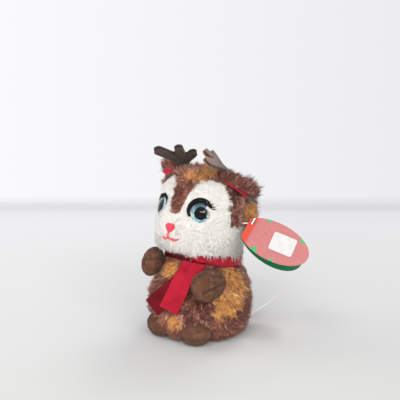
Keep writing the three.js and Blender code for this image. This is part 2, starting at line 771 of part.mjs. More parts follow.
function eyeLens() {
  const base = EYE_RADIUS;
  const radius = (base * base + LENS_RISE * LENS_RISE) / (2 * LENS_RISE);
  const sweep = Math.asin(base / radius);
  const outline = [new THREE.Vector2(0, lensBack)];
  const rows = 5;
  for (let i = 0; i <= rows; i++) {
    const angle = sweep * (1 - i / rows);
    const across = i === rows ? 0 : radius * Math.sin(angle);
    outline.push(new THREE.Vector2(across, lensBack + LENS_RISE - radius * (1 - Math.cos(angle))));
  }
  return placed(new THREE.LatheGeometry(outline, 24).rotateX(Math.PI / 2), eyeFrame);
}

function eyeDisc() {
  const plate = toSolid(disc(EYE_RADIUS, discBack, discBack + EYE_DISC, 20));
  const shank = toSolid(disc(SHANK_RADIUS, shankEnd, discBack + EYE_DISC / 2, 8));
  return placed(toGeometry(plate.add(shank)), eyeFrame);
}

function eyeWasher() {
  const plate = toSolid(disc(WASHER_RADIUS, washerTop - WASHER_THICKNESS, washerTop, 12));
  const bore = toSolid(disc(SHANK_RADIUS + SEAM_GAP, washerTop - 2 * WASHER_THICKNESS, washerTop + 1, 8));
  return placed(toGeometry(plate.subtract(bore)), eyeFrame);
}

// A layer on the head, cut from a prism: it follows the surface between two lifts
function layer(prism, low, high) {
  const outer = toSolid(headForm.geometry({ inset: -high }));
  const inner = toSolid(headForm.geometry({ inset: -low }));
  return prism.intersect(outer).subtract(inner);
}

function extruded(shape, low, high, curveSegments = 12) {
  const geometry = new THREE.ExtrudeGeometry(shape, { depth: high - low, bevelEnabled: false, curveSegments });
  return geometry.translate(0, 0, low);
}

function eyelid(side) {
  const from = degToRad(LID_FROM);
  const to = degToRad(LID_TO);
  const inner = EYE_RADIUS + 2 * SEAM_GAP;
  const shape = new THREE.Shape();
  shape.absarc(0, LID_SHIFT, inner + LID_WIDTH - LID_SHIFT / 2, from, to, false);
  shape.absarc(0, 0, inner, to, from, true);
  const prism = toSolid(onSide(side, toGeometry(toSolid(placed(extruded(shape, -EYE_RADIUS, EYE_RADIUS, 10), eyeFrame)))));
  return toGeometry(layer(prism, SEAM_GAP, SEAM_GAP + LID_THICKNESS));
}

// Stitching is drawn on the front plane (X across, Z up) and laid on the muzzle
const muzzleFrame = placement(new THREE.Vector3(0, 0, 0), new THREE.Vector3(1, 0, 0), new THREE.Vector3(0, -1, 0));

function nose() {
  const half = NOSE_WIDTH / 2;
  const top = NOSE_CENTRE + NOSE_HEIGHT / 2;
  const bottom = NOSE_CENTRE - NOSE_HEIGHT / 2;
  const shape = new THREE.Shape();
  shape.moveTo(-half * 0.5, top);
  shape.lineTo(half * 0.5, top);
  shape.quadraticCurveTo(half * 1.1, top, half, top - NOSE_HEIGHT * 0.35);
  shape.quadraticCurveTo(half * 0.6, bottom + NOSE_HEIGHT * 0.15, 0, bottom);
  shape.quadraticCurveTo(-half * 0.6, bottom + NOSE_HEIGHT * 0.15, -half, top - NOSE_HEIGHT * 0.35);
  shape.quadraticCurveTo(-half * 1.1, top, -half * 0.5, top);
  const prism = toSolid(placed(extruded(shape, 0, HEAD_RADIUS * 2, 5), muzzleFrame));
  return toGeometry(layer(prism, SEAM_GAP, SEAM_GAP + STITCH_RISE));
}

function mouth() {
  const half = MOUTH_LINE / 2;
  const top = NOSE_CENTRE - NOSE_HEIGHT / 2 - SEAM_GAP;
  const fork = top - MOUTH_DROP / 2;
  const low = fork - MOUTH_CURL;
  const shape = new THREE.Shape();
  shape.moveTo(-half, top);
  shape.lineTo(-half, fork);
  shape.quadraticCurveTo(-MOUTH_HALF_WIDTH * 0.55, low - half, -MOUTH_HALF_WIDTH, fork);
  shape.lineTo(-MOUTH_HALF_WIDTH - half, fork - MOUTH_LINE);
  shape.quadraticCurveTo(-MOUTH_HALF_WIDTH * 0.55, low - 3 * half - MOUTH_LINE, 0, fork - MOUTH_LINE);
  shape.quadraticCurveTo(MOUTH_HALF_WIDTH * 0.55, low - 3 * half - MOUTH_LINE, MOUTH_HALF_WIDTH + half, fork - MOUTH_LINE);
  shape.lineTo(MOUTH_HALF_WIDTH, fork);
  shape.quadraticCurveTo(MOUTH_HALF_WIDTH * 0.55, low - half, half, fork);
  shape.lineTo(half, top);
  const prism = toSolid(placed(extruded(shape, 0, HEAD_RADIUS * 2, 6), muzzleFrame));
  return toGeometry(layer(prism, SEAM_GAP, SEAM_GAP + STITCH_RISE));
}

// Ears: a cupped fur back with a satin lining, cut to the crown
const earFrame = placement(
  headForm.pointAt(EAR_AZIMUTH, EAR_ROOT_HEIGHT),
  EAR_OUTWARD,
  EAR_LINING_FACES.clone().negate(),
);
const earHinge = {
  origin: new THREE.Vector3().setFromMatrixPosition(earFrame),
  axis: new THREE.Vector3(0, 1, 0).transformDirection(earFrame),
};

function earLeaf(margin, thickness, lift) {
  const stations = [];
  const steps = 8;
  for (let i = 0; i <= steps; i++) {
    const share = i / steps;
    const widening = Math.sin(Math.PI * Math.pow(share, 0.8));
    const rounding = Math.sqrt(Math.max(1 - Math.pow(share, 4), 0));
    const half = (EAR_ROOT_HALF_WIDTH + (EAR_HALF_WIDTH - EAR_ROOT_HALF_WIDTH) * widening) * rounding;
    const tipX = EAR_LENGTH - margin;
    stations.push({
      centre: new THREE.Vector3(lerp(-EAR_ROOT_DEPTH, tipX, share), 0, 0),
      side: new THREE.Vector3(0, -1, 0),
      facing: new THREE.Vector3(0, 0, 1),
      halfWidth: Math.max(half - margin, EAR_TIP_HALF_WIDTH),
      cupping: -rounding,
    });
  }
  return placed(strip(stations, { thickness, lift, cup: EAR_CUP }), earFrame);
}

// Each ear hangs its own way: raised about its root and twisted along its length
function foldedEar(side, leaf) {
  const { raise, twist } = EAR_REST[side];
  const spine = { origin: earHinge.origin, axis: new THREE.Vector3(1, 0, 0).transformDirection(earFrame) };
  const posed = placed(leaf, turned(spine, twist), turned(earHinge, -raise));
  return toGeometry(clearOf(toSolid(posed), grownHead, earHinge, EAR_FOLD[side]));
}

function earBack(side) {
  return foldedEar(side, earLeaf(0, EAR_BACK_THICKNESS, EAR_BACK_THICKNESS / 2 + SEAM_GAP / 2));
}

function earLining(side) {
  return foldedEar(side, earLeaf(EAR_LINING_MARGIN, EAR_LINING_THICKNESS, -EAR_LINING_THICKNESS / 2 - SEAM_GAP / 2));
}

// Antlers
const antlerFrame = placement(
  headForm.pointAt(ANTLER_ROOT_AZIMUTH, ANTLER_ROOT_HEIGHT),
  ANTLER_ALONG,
  ANTLER_FACES,
);
const antlerHinge = {
  origin: new THREE.Vector3().setFromMatrixPosition(antlerFrame),
  axis: new THREE.Vector3(0, 1, 0).transformDirection(antlerFrame),
};

// Bar with round ends between two points of the antler's plane
function roundBar(from, to, width, low, high) {
  const along = to.clone().sub(from);
  const heading = along.angle();
  const shape = new THREE.Shape();
  shape.absarc(0, 0, width / 2, Math.PI / 2, 3 * Math.PI / 2, false);
  shape.absarc(along.length(), 0, width / 2, -Math.PI / 2, Math.PI / 2, false);
  return toSolid(extruded(shape, low, high, 7).rotateZ(heading).translate(from.x, from.y, 0));
}

function antlerLayer(low, high) {
  const fork = new THREE.Vector2(ANTLER_STEM, 0);
  let cloth = roundBar(new THREE.Vector2(-ANTLER_ROOT_DEPTH, 0), fork, ANTLER_STEM_WIDTH, low, high);
  for (const { along, aside } of ANTLER_FINGERS) {
    const roundEnd = new THREE.Vector2(along, aside).sub(fork);
    const tip = fork.clone().addScaledVector(roundEnd, 1 - ANTLER_FINGER_WIDTH / 2 / roundEnd.length());
    cloth = cloth.add(roundBar(fork, tip, ANTLER_FINGER_WIDTH, low, high));
  }
  return toGeometry(clearOf(toSolid(placed(toGeometry(cloth), antlerFrame)), grownHead, antlerHinge, ANTLER_BEND));
}

// Hang tag
const tagOrigin = new THREE.Vector3()
  .setFromMatrixPosition(headForm.frameAt(TAG_AZIMUTH, TAG_HEIGHT, TAG_STANDOFF));
const tagFrame = (() => {
  const azimuth = degToRad(TAG_FACING);
  const elevation = degToRad(TAG_ELEVATION);
  const facing = new THREE.Vector3(
    Math.sin(azimuth) * Math.cos(elevation),
    -Math.cos(azimuth) * Math.cos(elevation),
    Math.sin(elevation),
  );
  const right = new THREE.Vector3(Math.cos(azimuth), Math.sin(azimuth), 0);
  const along = right.applyAxisAngle(facing, degToRad(TAG_ROLL));
  return placement(tagOrigin, along, facing);
})();
const holeCentre = new THREE.Vector3(HOLE_FROM_FOLD, HOLE_ASIDE, 0);

function leafPlate(low, high) {
  const end = Math.acos(-LEAF_CUT / LEAF_HALF_LENGTH);
  const shape = new THREE.Shape();
  shape.absellipse(LEAF_CUT, 0, LEAF_HALF_LENGTH, LEAF_HALF_WIDTH, -end, end, false, 0);
  const hole = new THREE.Path();
  hole.absarc(holeCentre.x, holeCentre.y, LEAF_HOLE_RADIUS, 0, 2 * Math.PI, true);
  shape.holes.push(hole);
  return extruded(shape, low, high, 14);
}

function tagFrontLeaf() {
  return placed(leafPlate(SEAM_GAP / 2, SEAM_GAP / 2 + LEAF_THICKNESS), tagFrame);
}

function tagBackLeaf() {
  const leaf = leafPlate(-SEAM_GAP / 2 - LEAF_THICKNESS, -SEAM_GAP / 2).rotateY(degToRad(LEAF_OPENING));
  return placed(leaf, tagFrame);
}

function roundedPlate(length, width, corner, low, high) {
  const shape = new THREE.Shape();
  const [x, y] = [length / 2 - corner, width / 2 - corner];
  shape.absarc(x, -y, corner, -Math.PI / 2, 0, false);
  shape.absarc(x, y, corner, 0, Math.PI / 2, false);
  shape.absarc(-x, y, corner, Math.PI / 2, Math.PI, false);
  shape.absarc(-x, -y, corner, Math.PI, 3 * Math.PI / 2, false);
  return extruded(shape, low, high, 3);
}

function tagSticker() {
  const low = 1.5 * SEAM_GAP + LEAF_THICKNESS;
  return placed(
    roundedPlate(STICKER_LENGTH, STICKER_WIDTH, STICKER_CORNER, low, low + STICKER_THICKNESS)
      .rotateZ(degToRad(STICKER_TURN))
      .translate(STICKER_ALONG, STICKER_ASIDE, 0),
    tagFrame,
  );
}

// Plastic loop: a bar on the front leaf, a filament through both leaves and a bar inside the head
const loopEntry = headForm.frameAt(LOOP_ENTRY.azimuth, LOOP_ENTRY.height);

function tagFastener(grow = 0) {
  const inTag = (x, y, z) => new THREE.Vector3(x, y, z).add(holeCentre).applyMatrix4(tagFrame);
  const inHead = (x, y, z) => new THREE.Vector3(x, y, z).applyMatrix4(loopEntry);
  const above = 2 * SEAM_GAP + LEAF_THICKNESS + FILAMENT_RADIUS;
  const inside = -PLUSH - LOOP_BEND.insideCover;
  const radius = FILAMENT_RADIUS + grow;
  const filament = wire([
    inTag(0, 0, above),
    inTag(0, 0, -LOOP_BEND.behindTag),
    inHead(0, 0, LOOP_BEND.beforeHead),
    inHead(0, 0, inside),
  ], radius, 10);
  const reach = FILAMENT_HEAD + grow;
  const outerBar = wire([inTag(0, -reach, above), inTag(0, reach, above)], radius * FILAMENT_BAR, 1);
  const innerBar = wire([
    inHead(-reach, 0, inside - FILAMENT_RADIUS),
    inHead(reach, 0, inside - FILAMENT_RADIUS),
  ], radius * FILAMENT_BAR, 1);
  return toSolid(filament).add(toSolid(outerBar)).add(toSolid(innerBar));
}

function headPiece(region) {
  return toGeometry(region.subtract(bothEyeRooms()).subtract(tagFastener(SEAM_GAP)));
}

function headStuffing() {
  const filling = toSolid(headForm.geometry({ inset: PLUSH + SEAM_GAP, columns: 16 }));
  return headPiece(filling.intersect(aboveNeck(SEAM_GAP)).subtract(groove(GROOVE_WALL + SEAM_GAP)));
}

// Care label, sewn into the base seam
const labelFrame = placement(
  bodyForm.pointAt(LABEL_AZIMUTH, LABEL_HEIGHT),
  LABEL_OUTWARD,
  new THREE.Vector3().crossVectors(LABEL_OUTWARD, LABEL_ACROSS),
);
const labelHinge = {
  origin: new THREE.Vector3().setFromMatrixPosition(labelFrame),
  axis: new THREE.Vector3(0, 1, 0).transformDirection(labelFrame),
};

function careLabel() {
  const length = LABEL_LENGTH + LABEL_ROOT_DEPTH;
  const sheet = block(length, LABEL_WIDTH, LABEL_THICKNESS, [length / 2 - LABEL_ROOT_DEPTH, 0, 0]);
  return toGeometry(clearOf(toSolid(placed(sheet, labelFrame)), grownBody, labelHinge, LABEL_FLAP));
}

// Assembly
const toy = new THREE.Group();

function add(name, geometry, finish) {
  const [color, roughness, metalness] = FINISHES[finish];
  const mesh = new THREE.Mesh(geometry, new THREE.MeshStandardMaterial({ color, roughness, metalness }));
  mesh.name = name;
  toy.add(mesh);
}

add('body_cover', bodyCover(), 'brownPlush');
add('seat_panel', seatPanel(), 'seatCloth');
add('body_stuffing', bodyStuffing(), 'filling');
add('pellet_pouch', pelletPouch(), 'pouchCloth');
add('tail', tail(), 'brownPlush');
add('scarf_band', scarfBand(), 'satin');
add('scarf_knot', scarfKnot(), 'satin');
add('scarf_tail_front', scarfTail(FRONT_TAIL), 'satin');
add('scarf_tail_back', scarfTail(BACK_TAIL), 'satin');
add('care_label', careLabel(), 'labelSatin');
add('crown_cover', headPiece(headShell.subtract(whiteRegion(0))), 'brownPlush');
add('face_panel', headPiece(headShell.intersect(whiteRegion(SEAM_GAP))), 'whitePlush');
add('head_stuffing', headStuffing(), 'filling');
add('nose', nose(), 'redThread');
add('mouth', mouth(), 'redThread');
add('tag_front_leaf', tagFrontLeaf(), 'redCard');
add('tag_back_leaf', tagBackLeaf(), 'greenCard');
add('tag_sticker', tagSticker(), 'sticker');
add('tag_fastener', toGeometry(tagFastener()), 'whitePlastic');

for (const side of ['left', 'right']) {
  add(`foot_cover_${side}`, onSide(side, footCover()), 'velboa');
  add(`foot_stuffing_${side}`, onSide(side, footStuffing()), 'filling');
  add(`arm_cover_${side}`, onSide(side, armCover(ARM_REST[side])), 'velboa');
  add(`arm_stuffing_${side}`, onSide(side, armStuffing(ARM_REST[side])), 'filling');
  add(`eye_lens_${side}`, onSide(side, eyeLens()), 'clearPlastic');
  add(`eye_disc_${side}`, onSide(side, eyeDisc()), 'glitterDisc');
  add(`eye_washer_${side}`, onSide(side, eyeWasher()), 'whitePlastic');
  add(`eyelid_${side}`, eyelid(side), 'blackFelt');
  add(`ear_back_${side}`, onSide(side, earBack(side)), 'brownPlush');
  add(`ear_lining_${side}`, onSide(side, earLining(side)), 'satin');
  add(`antler_top_${side}`, onSide(side, antlerLayer(SEAM_GAP / 2, SEAM_GAP / 2 + ANTLER_LAYER)), 'antlerCloth');
  add(`antler_under_${side}`, onSide(side, antlerLayer(-SEAM_GAP / 2 - ANTLER_LAYER, -SEAM_GAP / 2)), 'antlerCloth');
}

export default toy;
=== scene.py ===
# Looks of a small seated plush reindeer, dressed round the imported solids.
# Lengths in this script are millimetres until a mesh is made.
import math

import bmesh
import bpy
import numpy as np
from mathutils import Matrix, Vector, noise
from mathutils.bvhtree import BVHTree
from mathutils.kdtree import KDTree


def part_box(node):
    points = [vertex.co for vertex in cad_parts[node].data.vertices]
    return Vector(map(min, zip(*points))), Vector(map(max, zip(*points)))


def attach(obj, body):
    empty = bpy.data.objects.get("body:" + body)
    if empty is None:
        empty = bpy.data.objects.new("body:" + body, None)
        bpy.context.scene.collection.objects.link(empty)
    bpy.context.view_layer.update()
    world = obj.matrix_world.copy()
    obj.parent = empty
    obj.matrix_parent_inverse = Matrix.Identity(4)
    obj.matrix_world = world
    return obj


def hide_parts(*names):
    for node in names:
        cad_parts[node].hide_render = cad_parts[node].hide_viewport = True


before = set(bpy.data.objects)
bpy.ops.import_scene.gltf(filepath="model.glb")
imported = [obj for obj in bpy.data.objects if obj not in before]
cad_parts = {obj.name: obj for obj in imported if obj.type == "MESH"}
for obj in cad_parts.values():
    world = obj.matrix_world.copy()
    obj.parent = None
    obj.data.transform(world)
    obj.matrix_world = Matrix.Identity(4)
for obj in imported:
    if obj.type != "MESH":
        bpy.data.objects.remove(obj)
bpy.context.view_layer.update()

MM = 0.001
SIDES = {"left": 1, "right": -1}
MIRROR = {side: np.array((sign, 1, 1)) for side, sign in SIDES.items()}

# The sewn neck: its middle, its axis, the directions to its front and left, and the height of its seam
NECK_ORIGIN = np.array((0.0, 0.0, 59.2))
NECK_AXIS = np.array((0.0, 0.2588, 0.9659))
NECK_FRONT = np.array((0.0, -0.9659, 0.2588))
NECK_LEFT = np.array((1.0, 0.0, 0.0))
NECK_SEAM = 4.55

# Camera at the photograph's angle, for a frame of 400 x 400
BACK = np.array((0.5746, -0.7765, 0.2588))
RIGHT = np.array((0.8039, 0.5948, 0.0))
UP = np.array((-0.1539, 0.2081, 0.9659))
CAMERA_AT = 790 * BACK - 2.37 * RIGHT + 99.54 * UP
FOCAL_PIXELS = 1000
MIDDLE_PIXEL = 200


def make_camera():
    data = bpy.data.cameras.new("camera")
    data.lens = 90
    data.sensor_width = 36
    data.clip_start = 0.01
    data.clip_end = 20
    camera = bpy.data.objects.new("camera", data)
    rows = [[RIGHT[i], UP[i], BACK[i], CAMERA_AT[i] * MM] for i in range(3)]
    camera.matrix_world = Matrix(rows + [[0, 0, 0, 1]])
    bpy.context.collection.objects.link(camera)
    bpy.context.scene.camera = camera


make_camera()


# Colours and materials
def rgb(text):
    """Linear colour from a hex colour."""
    values = [int(text[i : i + 2], 16) / 255 for i in (1, 3, 5)]
    linear = [v / 12.92 if v <= 0.04045 else ((v + 0.055) / 1.055) ** 2.4 for v in values]
    return (*linear, 1.0)


class Nodes:
    """A node tree, and short ways to add nodes to it."""

    def __init__(self, tree):
        self.tree = tree

    def node(self, kind, inputs=(), **settings):
        """A new node whose inputs are values or other nodes' outputs."""
        made = self.tree.nodes.new(kind)
        for key, value in settings.items():
            setattr(made, key, value)
        for socket, value in dict(inputs).items():
            if isinstance(value, bpy.types.NodeSocket):
                self.tree.links.new(value, made.inputs[socket])
            else:
                made.inputs[socket].default_value = value
        return made

    def place(self):
        return self.node("ShaderNodeTexCoord").outputs["Object"]

    def noise(self, scale, place, detail=3.0, rough=0.55):
        inputs = {"Vector": place, "Scale": scale, "Detail": detail, "Roughness": rough}
        return self.node("ShaderNodeTexNoise", inputs).outputs["Fac"]

    def ramp(self, source, stops):
        made = self.node("ShaderNodeValToRGB", {"Fac": source})
        while len(made.color_ramp.elements) < len(stops):
            made.color_ramp.elements.new(0.5)
        for element, (at, colour) in zip(made.color_ramp.elements, stops):
            element.position = at
            element.color = rgb(colour)
        return made.outputs["Color"]

    def span(self, source, low, high, to_low, to_high, **settings):
        inputs = {"Value": source, "From Min": low, "From Max": high, "To Min": to_low, "To Max": to_high}
        return self.node("ShaderNodeMapRange", inputs, **settings).outputs["Result"]

    def mix(self, share, first, second):
        first, second = (rgb(v) if isinstance(v, str) else v for v in (first, second))
        inputs = {"Factor": share, 6: first, 7: second}
        return self.node("ShaderNodeMix", inputs, data_type="RGBA").outputs[2]

    def along(self, place, direction, origin=(0, 0, 0)):
        """Distance in metres along a direction, from an origin in millimetres."""
        inputs = {0: place, 1: [v * MM for v in origin]}
        away = self.node("ShaderNodeVectorMath", inputs, operation="SUBTRACT").outputs["Vector"]
        inputs = {0: away, 1: list(direction)}
        return self.node("ShaderNodeVectorMath", inputs, operation="DOT_PRODUCT").outputs["Value"]

    def maths(self, operation, *values):
        return self.node("ShaderNodeMath", enumerate(values), operation=operation).outputs["Value"]

    def blend(self, share, first, second, output):
        """Mixes two shaders into the tree's output."""
        made = self.node("ShaderNodeMixShader", {"Fac": share, 1: first.outputs[0], 2: second.outputs[0]})
        self.tree.links.new(made.outputs["Shader"], self.tree.nodes[output].inputs["Surface"])


class Finish(Nodes):
    """A material with one Principled shader."""

    def __init__(self, name, **values):
        self.material = bpy.data.materials.new(name)
        self.material.use_nodes = True
        super().__init__(self.material.node_tree)
        self.shader = self.tree.nodes["Principled BSDF"]
        for socket, value in values.items():
            self.shader.inputs[socket.replace("_", " ")].default_value = value

    def join(self, socket, source):
        self.tree.links.new(source, self.shader.inputs[socket])

    def wear(self, source, low, high):
        """Roughness that wanders from low to high."""
        self.join("Roughness", self.span(source, 0.3, 0.7, low, high))

    def relief(self, height, strength, depth):
        inputs = {"Height": height, "Strength": strength, "Distance": depth * MM}
        self.join("Normal", self.node("ShaderNodeBump", inputs).outputs["Normal"])


def fabric(name, stops, patch, grain, roughness=0.85, sheen=0.3, relief=0.5, depth=0.3):
    """Cloth whose colour wanders over patches, with a fine grain; sizes are in millimetres."""
    values = {"Sheen_Weight": sheen, "Sheen_Roughness": 0.5, "Specular_IOR_Level": 0.25}
    finish = Finish(name, Roughness=roughness, **values)
    place = finish.place()
    finish.join("Base Color", finish.ramp(finish.noise(1 / (patch * MM), place), stops))
    fine = finish.noise(1 / (grain * MM), place, 4, 0.65)
    finish.wear(fine, roughness - 0.08, min(roughness + 0.1, 1))
    finish.relief(fine, relief, depth)
    return finish.material


def strand_finishes(roughness, **colours):
    """Pile of plain tones, with the shine varied along the strands."""
    made = []
    for name, colour in colours.items():
        finish = Finish(name, Base_Color=rgb(colour), Roughness=roughness, Specular_IOR_Level=0.35)
        finish.shader.inputs["Sheen Weight"].default_value = 0.25
        finish.shader.inputs["Sheen Roughness"].default_value = 0.4
        finish.wear(finish.noise(420, finish.place()), roughness - 0.12, roughness + 0.14)
        made.append(finish.material)
    return made


# Arrays of points
def unit(vectors):
    return vectors / np.maximum(np.linalg.norm(vectors, axis=-1, keepdims=True), 1e-9)


def flat_to(vectors, normals):
    """The part of each vector that lies in its surface."""
    return vectors - (vectors * normals).sum(1, keepdims=True) * normals


def wander(points, size, seed=0.0):
    """Smooth noise from about -1 to 1 at each point, with features of a size in millimetres."""
    return np.array([noise.noise(Vector(p) / size + Vector((seed, -seed, 2 * seed))) for p in points])


def swirl(points, size, seed, steps=(0, 2, 5), up_size=None, up_share=1.0):
    """Smooth noise in three directions."""
    across = [wander(points, size, seed + step) for step in steps[:2]]
    return np.stack([*across, up_share * wander(points, up_size or size, seed + steps[2])], 1)


def smoothstep(value, low, high):
    share = np.clip((value - low) / (high - low), 0, 1)
    return share * share * (3 - 2 * share)


# Meshes
def mesh_piece(name, points, corners, sizes, materials, chosen=None):
    """A piece from points in millimetres, the flat list of its faces' corners and each face's size."""
    mesh = bpy.data.meshes.new(name)
    mesh.vertices.add(len(points))
    mesh.vertices.foreach_set("co", (np.asarray(points, float) * MM).astype(np.float32).ravel())
    mesh.loops.add(len(corners))
    mesh.loops.foreach_set("vertex_index", np.asarray(corners, np.int32))
    mesh.polygons.add(len(sizes))
    starts = np.concatenate([[0], np.cumsum(sizes)[:-1]]).astype(np.int32)
    mesh.polygons.foreach_set("loop_start", starts)
    for material in materials:
        mesh.materials.append(material)
    if chosen is not None:
        mesh.polygons.foreach_set("material_index", np.asarray(chosen, np.int32))
    mesh.polygons.foreach_set("use_smooth", np.full(len(sizes), True))
    mesh.update(calc_edges=True)
    mesh.validate()
    piece = bpy.data.objects.new(name, mesh)
    bpy.context.collection.objects.link(piece)
    return piece


def dress(piece, body, slot, *nodes):
    """Puts a piece on its body, in place of CAD nodes; its slot is not used."""
    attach(piece, body)
    if nodes:
        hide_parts(*nodes)
    return piece


def faces_piece(name, points, faces, material, body, slot, *nodes):
    corners = np.concatenate([np.ravel(face) for face in faces]) if isinstance(faces, list) else faces.ravel()
    sizes = [len(face) for face in faces]
    return dress(mesh_piece(name, points, corners, sizes, [material]), body, slot, *nodes)


def closed(faces, count):
    """Closes a layer of faces with its turned copy, whose points follow its own, and a wall round it."""
    edges = {}
    for face in faces:
        for edge in zip(face, face[1:] + face[:1]):
            if edge[::-1] in edges:
                del edges[edge[::-1]]
            else:
                edges[edge] = True
    back = [tuple(i + count for i in face[:1] + face[:0:-1]) for face in faces]
    walls = [(a, a + count, b + count, b) for a, b in edges]
    return faces + back + walls


def shape_of(mesh):
    """A mesh's points in millimetres, and its triangles."""
    mesh.calc_loop_triangles()
    points = np.zeros(len(mesh.vertices) * 3, np.float32)
    mesh.vertices.foreach_get("co", points)
    triangles = np.zeros(len(mesh.loop_triangles) * 3, np.int32)
    mesh.loop_triangles.foreach_get("vertices", triangles)
    return points.reshape(-1, 3).astype(float) / MM, triangles.reshape(-1, 3)


def cad_shape(*names):
    """Points and triangles of CAD nodes, and which node each triangle is of."""
    shapes = [shape_of(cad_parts[name].data) for name in names]
    starts = np.cumsum([0] + [len(points) for points, _ in shapes])
    triangles = [faces + start for (_, faces), start in zip(shapes, starts)]
    owner = [np.full(len(faces), which) for which, faces in enumerate(triangles)]
    return np.concatenate([points for points, _ in shapes]), np.concatenate(triangles), np.concatenate(owner)


def tree_of(points, triangles):
    return BVHTree.FromPolygons([tuple(p) for p in points], [tuple(t) for t in triangles])


def near_tree(points):
    tree = KDTree(len(points))
    for i, point in enumerate(points):
        tree.insert(point, i)
    tree.balance()
    return tree


def icosphere(level):
    ball = bmesh.new()
    bmesh.ops.create_icosphere(ball, subdivisions=level, radius=1)
    points = np.array([v.co for v in ball.verts], float)
    triangles = np.array([[v.index for v in f.verts] for f in ball.faces])
    ball.free()
    return unit(points), triangles


def neighbour_mean(values, triangles):
    """Mean of each point's neighbours, over the edges of the triangles."""
    edges = np.concatenate([triangles[:, [0, 1]], triangles[:, [1, 2]], triangles[:, [2, 0]]])
    total = np.zeros(len(values))
    share = np.zeros(len(values))
    for a, b in ((0, 1), (1, 0)):
        np.add.at(total, edges[:, a], values[edges[:, b]])
        np.add.at(share, edges[:, a], 1)
    return total / share


def filled_in(values, unknown, triangles, rings, snap=float):
    """Unknown values taken, ring by ring, from their known neighbours."""
    for _ in range(rings):
        if not unknown.any():
            break
        sums = neighbour_mean(np.where(unknown, 0, values), triangles)
        shares = neighbour_mean(np.where(unknown, 0, 1.0), triangles)
        fill = unknown & (shares > 0)
        values[fill] = [snap(v) for v in sums[fill] / shares[fill]]
        unknown = unknown & ~fill
    return values


def point_normals(points, triangles):
    a, b, c = (points[triangles[:, i]] for i in range(3))
    face = np.cross(b - a, c - a)
    total = np.zeros_like(points)
    for i in range(3):
        np.add.at(total, triangles[:, i], face)
    return unit(total)


def wrapped(names, centre, level, rounds, filler=None):
    """A fine ball drawn in onto the outside of CAD solids from all round a centre, then smoothed.

    Rays that fall through a seam onto the filler node take their neighbours' reach."""
    directions, triangles = icosphere(level)
    points, faces, owner = cad_shape(*names)
    tree = tree_of(points, faces)
    centre = np.array(centre, float)
    reach = np.full(len(directions), np.nan)
    whose = np.full(len(directions), -1)
    far = 200
    for i, direction in enumerate(directions):
        _, _, face, distance = tree.ray_cast(Vector(centre + far * direction), Vector(-direction))
        if face is not None:
            reach[i] = far - distance
            whose[i] = owner[face]
    missed = np.isnan(reach)
    if filler is not None:
        missed |= whose == names.index(filler)
    reach = filled_in(reach, missed, triangles, 12)
    for _ in range(rounds):
        reach = 0.5 * reach + 0.5 * neighbour_mean(reach, triangles)
    return centre + directions * reach[:, None], triangles, whose


def scattered(points, triangles, count, rng):
    """Points spread evenly over triangles, with their normals and the triangle that each is on."""
    a, b, c = (points[triangles[:, i]] for i in range(3))
    area = np.linalg.norm(np.cross(b - a, c - a), axis=1)
    chosen = rng.choice(len(triangles), count, p=area / area.sum())
    u, v = rng.random((2, count, 1))
    over = u + v > 1
    u, v = np.where(over, 1 - u, u), np.where(over, 1 - v, v)
    spots = a[chosen] * (1 - u - v) + b[chosen] * u + c[chosen] * v
    return spots, unit(np.cross(b - a, c - a)[chosen]), chosen


def smooth_scattered(points, triangles, normals, count, rng):
    """Points spread evenly over triangles, with smooth normals."""
    roots, _, chosen = scattered(points, triangles, count, rng)
    return roots, unit(sum(normals[triangles[chosen][:, i]] for i in range(3)))


# Pile: its tones and the way each kind of strand grows
BROWN_TONES = strand_finishes(
    0.62,
    pile_chestnut="#8b5443",
    pile_umber="#6f3e32",
    pile_plum="#552f2e",
    pile_rose="#b57d6a",
    pile_blush="#d0a799",
    pile_gold="#da994f",
    pile_straw="#eebd7c",
    pile_amber="#b87440",
)
WHITE_TONES = strand_finishes(
    0.7, pile_white="#ede8e1", pile_milk="#f6f4ef", pile_cream="#e8e0d7", pile_pearl="#dcd1c9"
)
VELBOA_TONES = strand_finishes(0.7, nap_brown="#6c4633", nap_tan="#855b47", nap_dark="#482b20")
STRAND = ((0, 0.9), (0.5, 1), (1, 0))
NAP_STRAND = ((0, 1), (1, 0))
LONG_COAT = {
    "rise": 0.62, "fall": 0.3, "stray": 0.2, "tuft": 13, "gather": 0.5, "lean": 0.4,
    "uneven": (0.7, 1.35), "relief": 0.4, "width": 0.38, "levels": STRAND,
}
WHITE_COAT = {
    "rise": 0.66, "fall": 0.38, "stray": 0.18, "tuft": 10, "gather": 0.35, "lean": 0.2,
    "uneven": (0.85, 1.15), "relief": 0.1, "width": 0.4, "levels": STRAND,
}
NAP_COAT = {
    "rise": 0.6, "fall": 0.35, "stray": 0.22, "tuft": 6, "gather": 0.3, "lean": 0.2,
    "uneven": (0.85, 1.15), "relief": 0.35, "width": 0.34, "levels": NAP_STRAND,
}
BROWN = ("brown_plush", BROWN_TONES, LONG_COAT)
WHITE = ("white_plush", WHITE_TONES, WHITE_COAT)
NAP = ("velboa", VELBOA_TONES, NAP_COAT)
STRAND_DEPTH = 0.03
FLOOR_GAP = 0.1


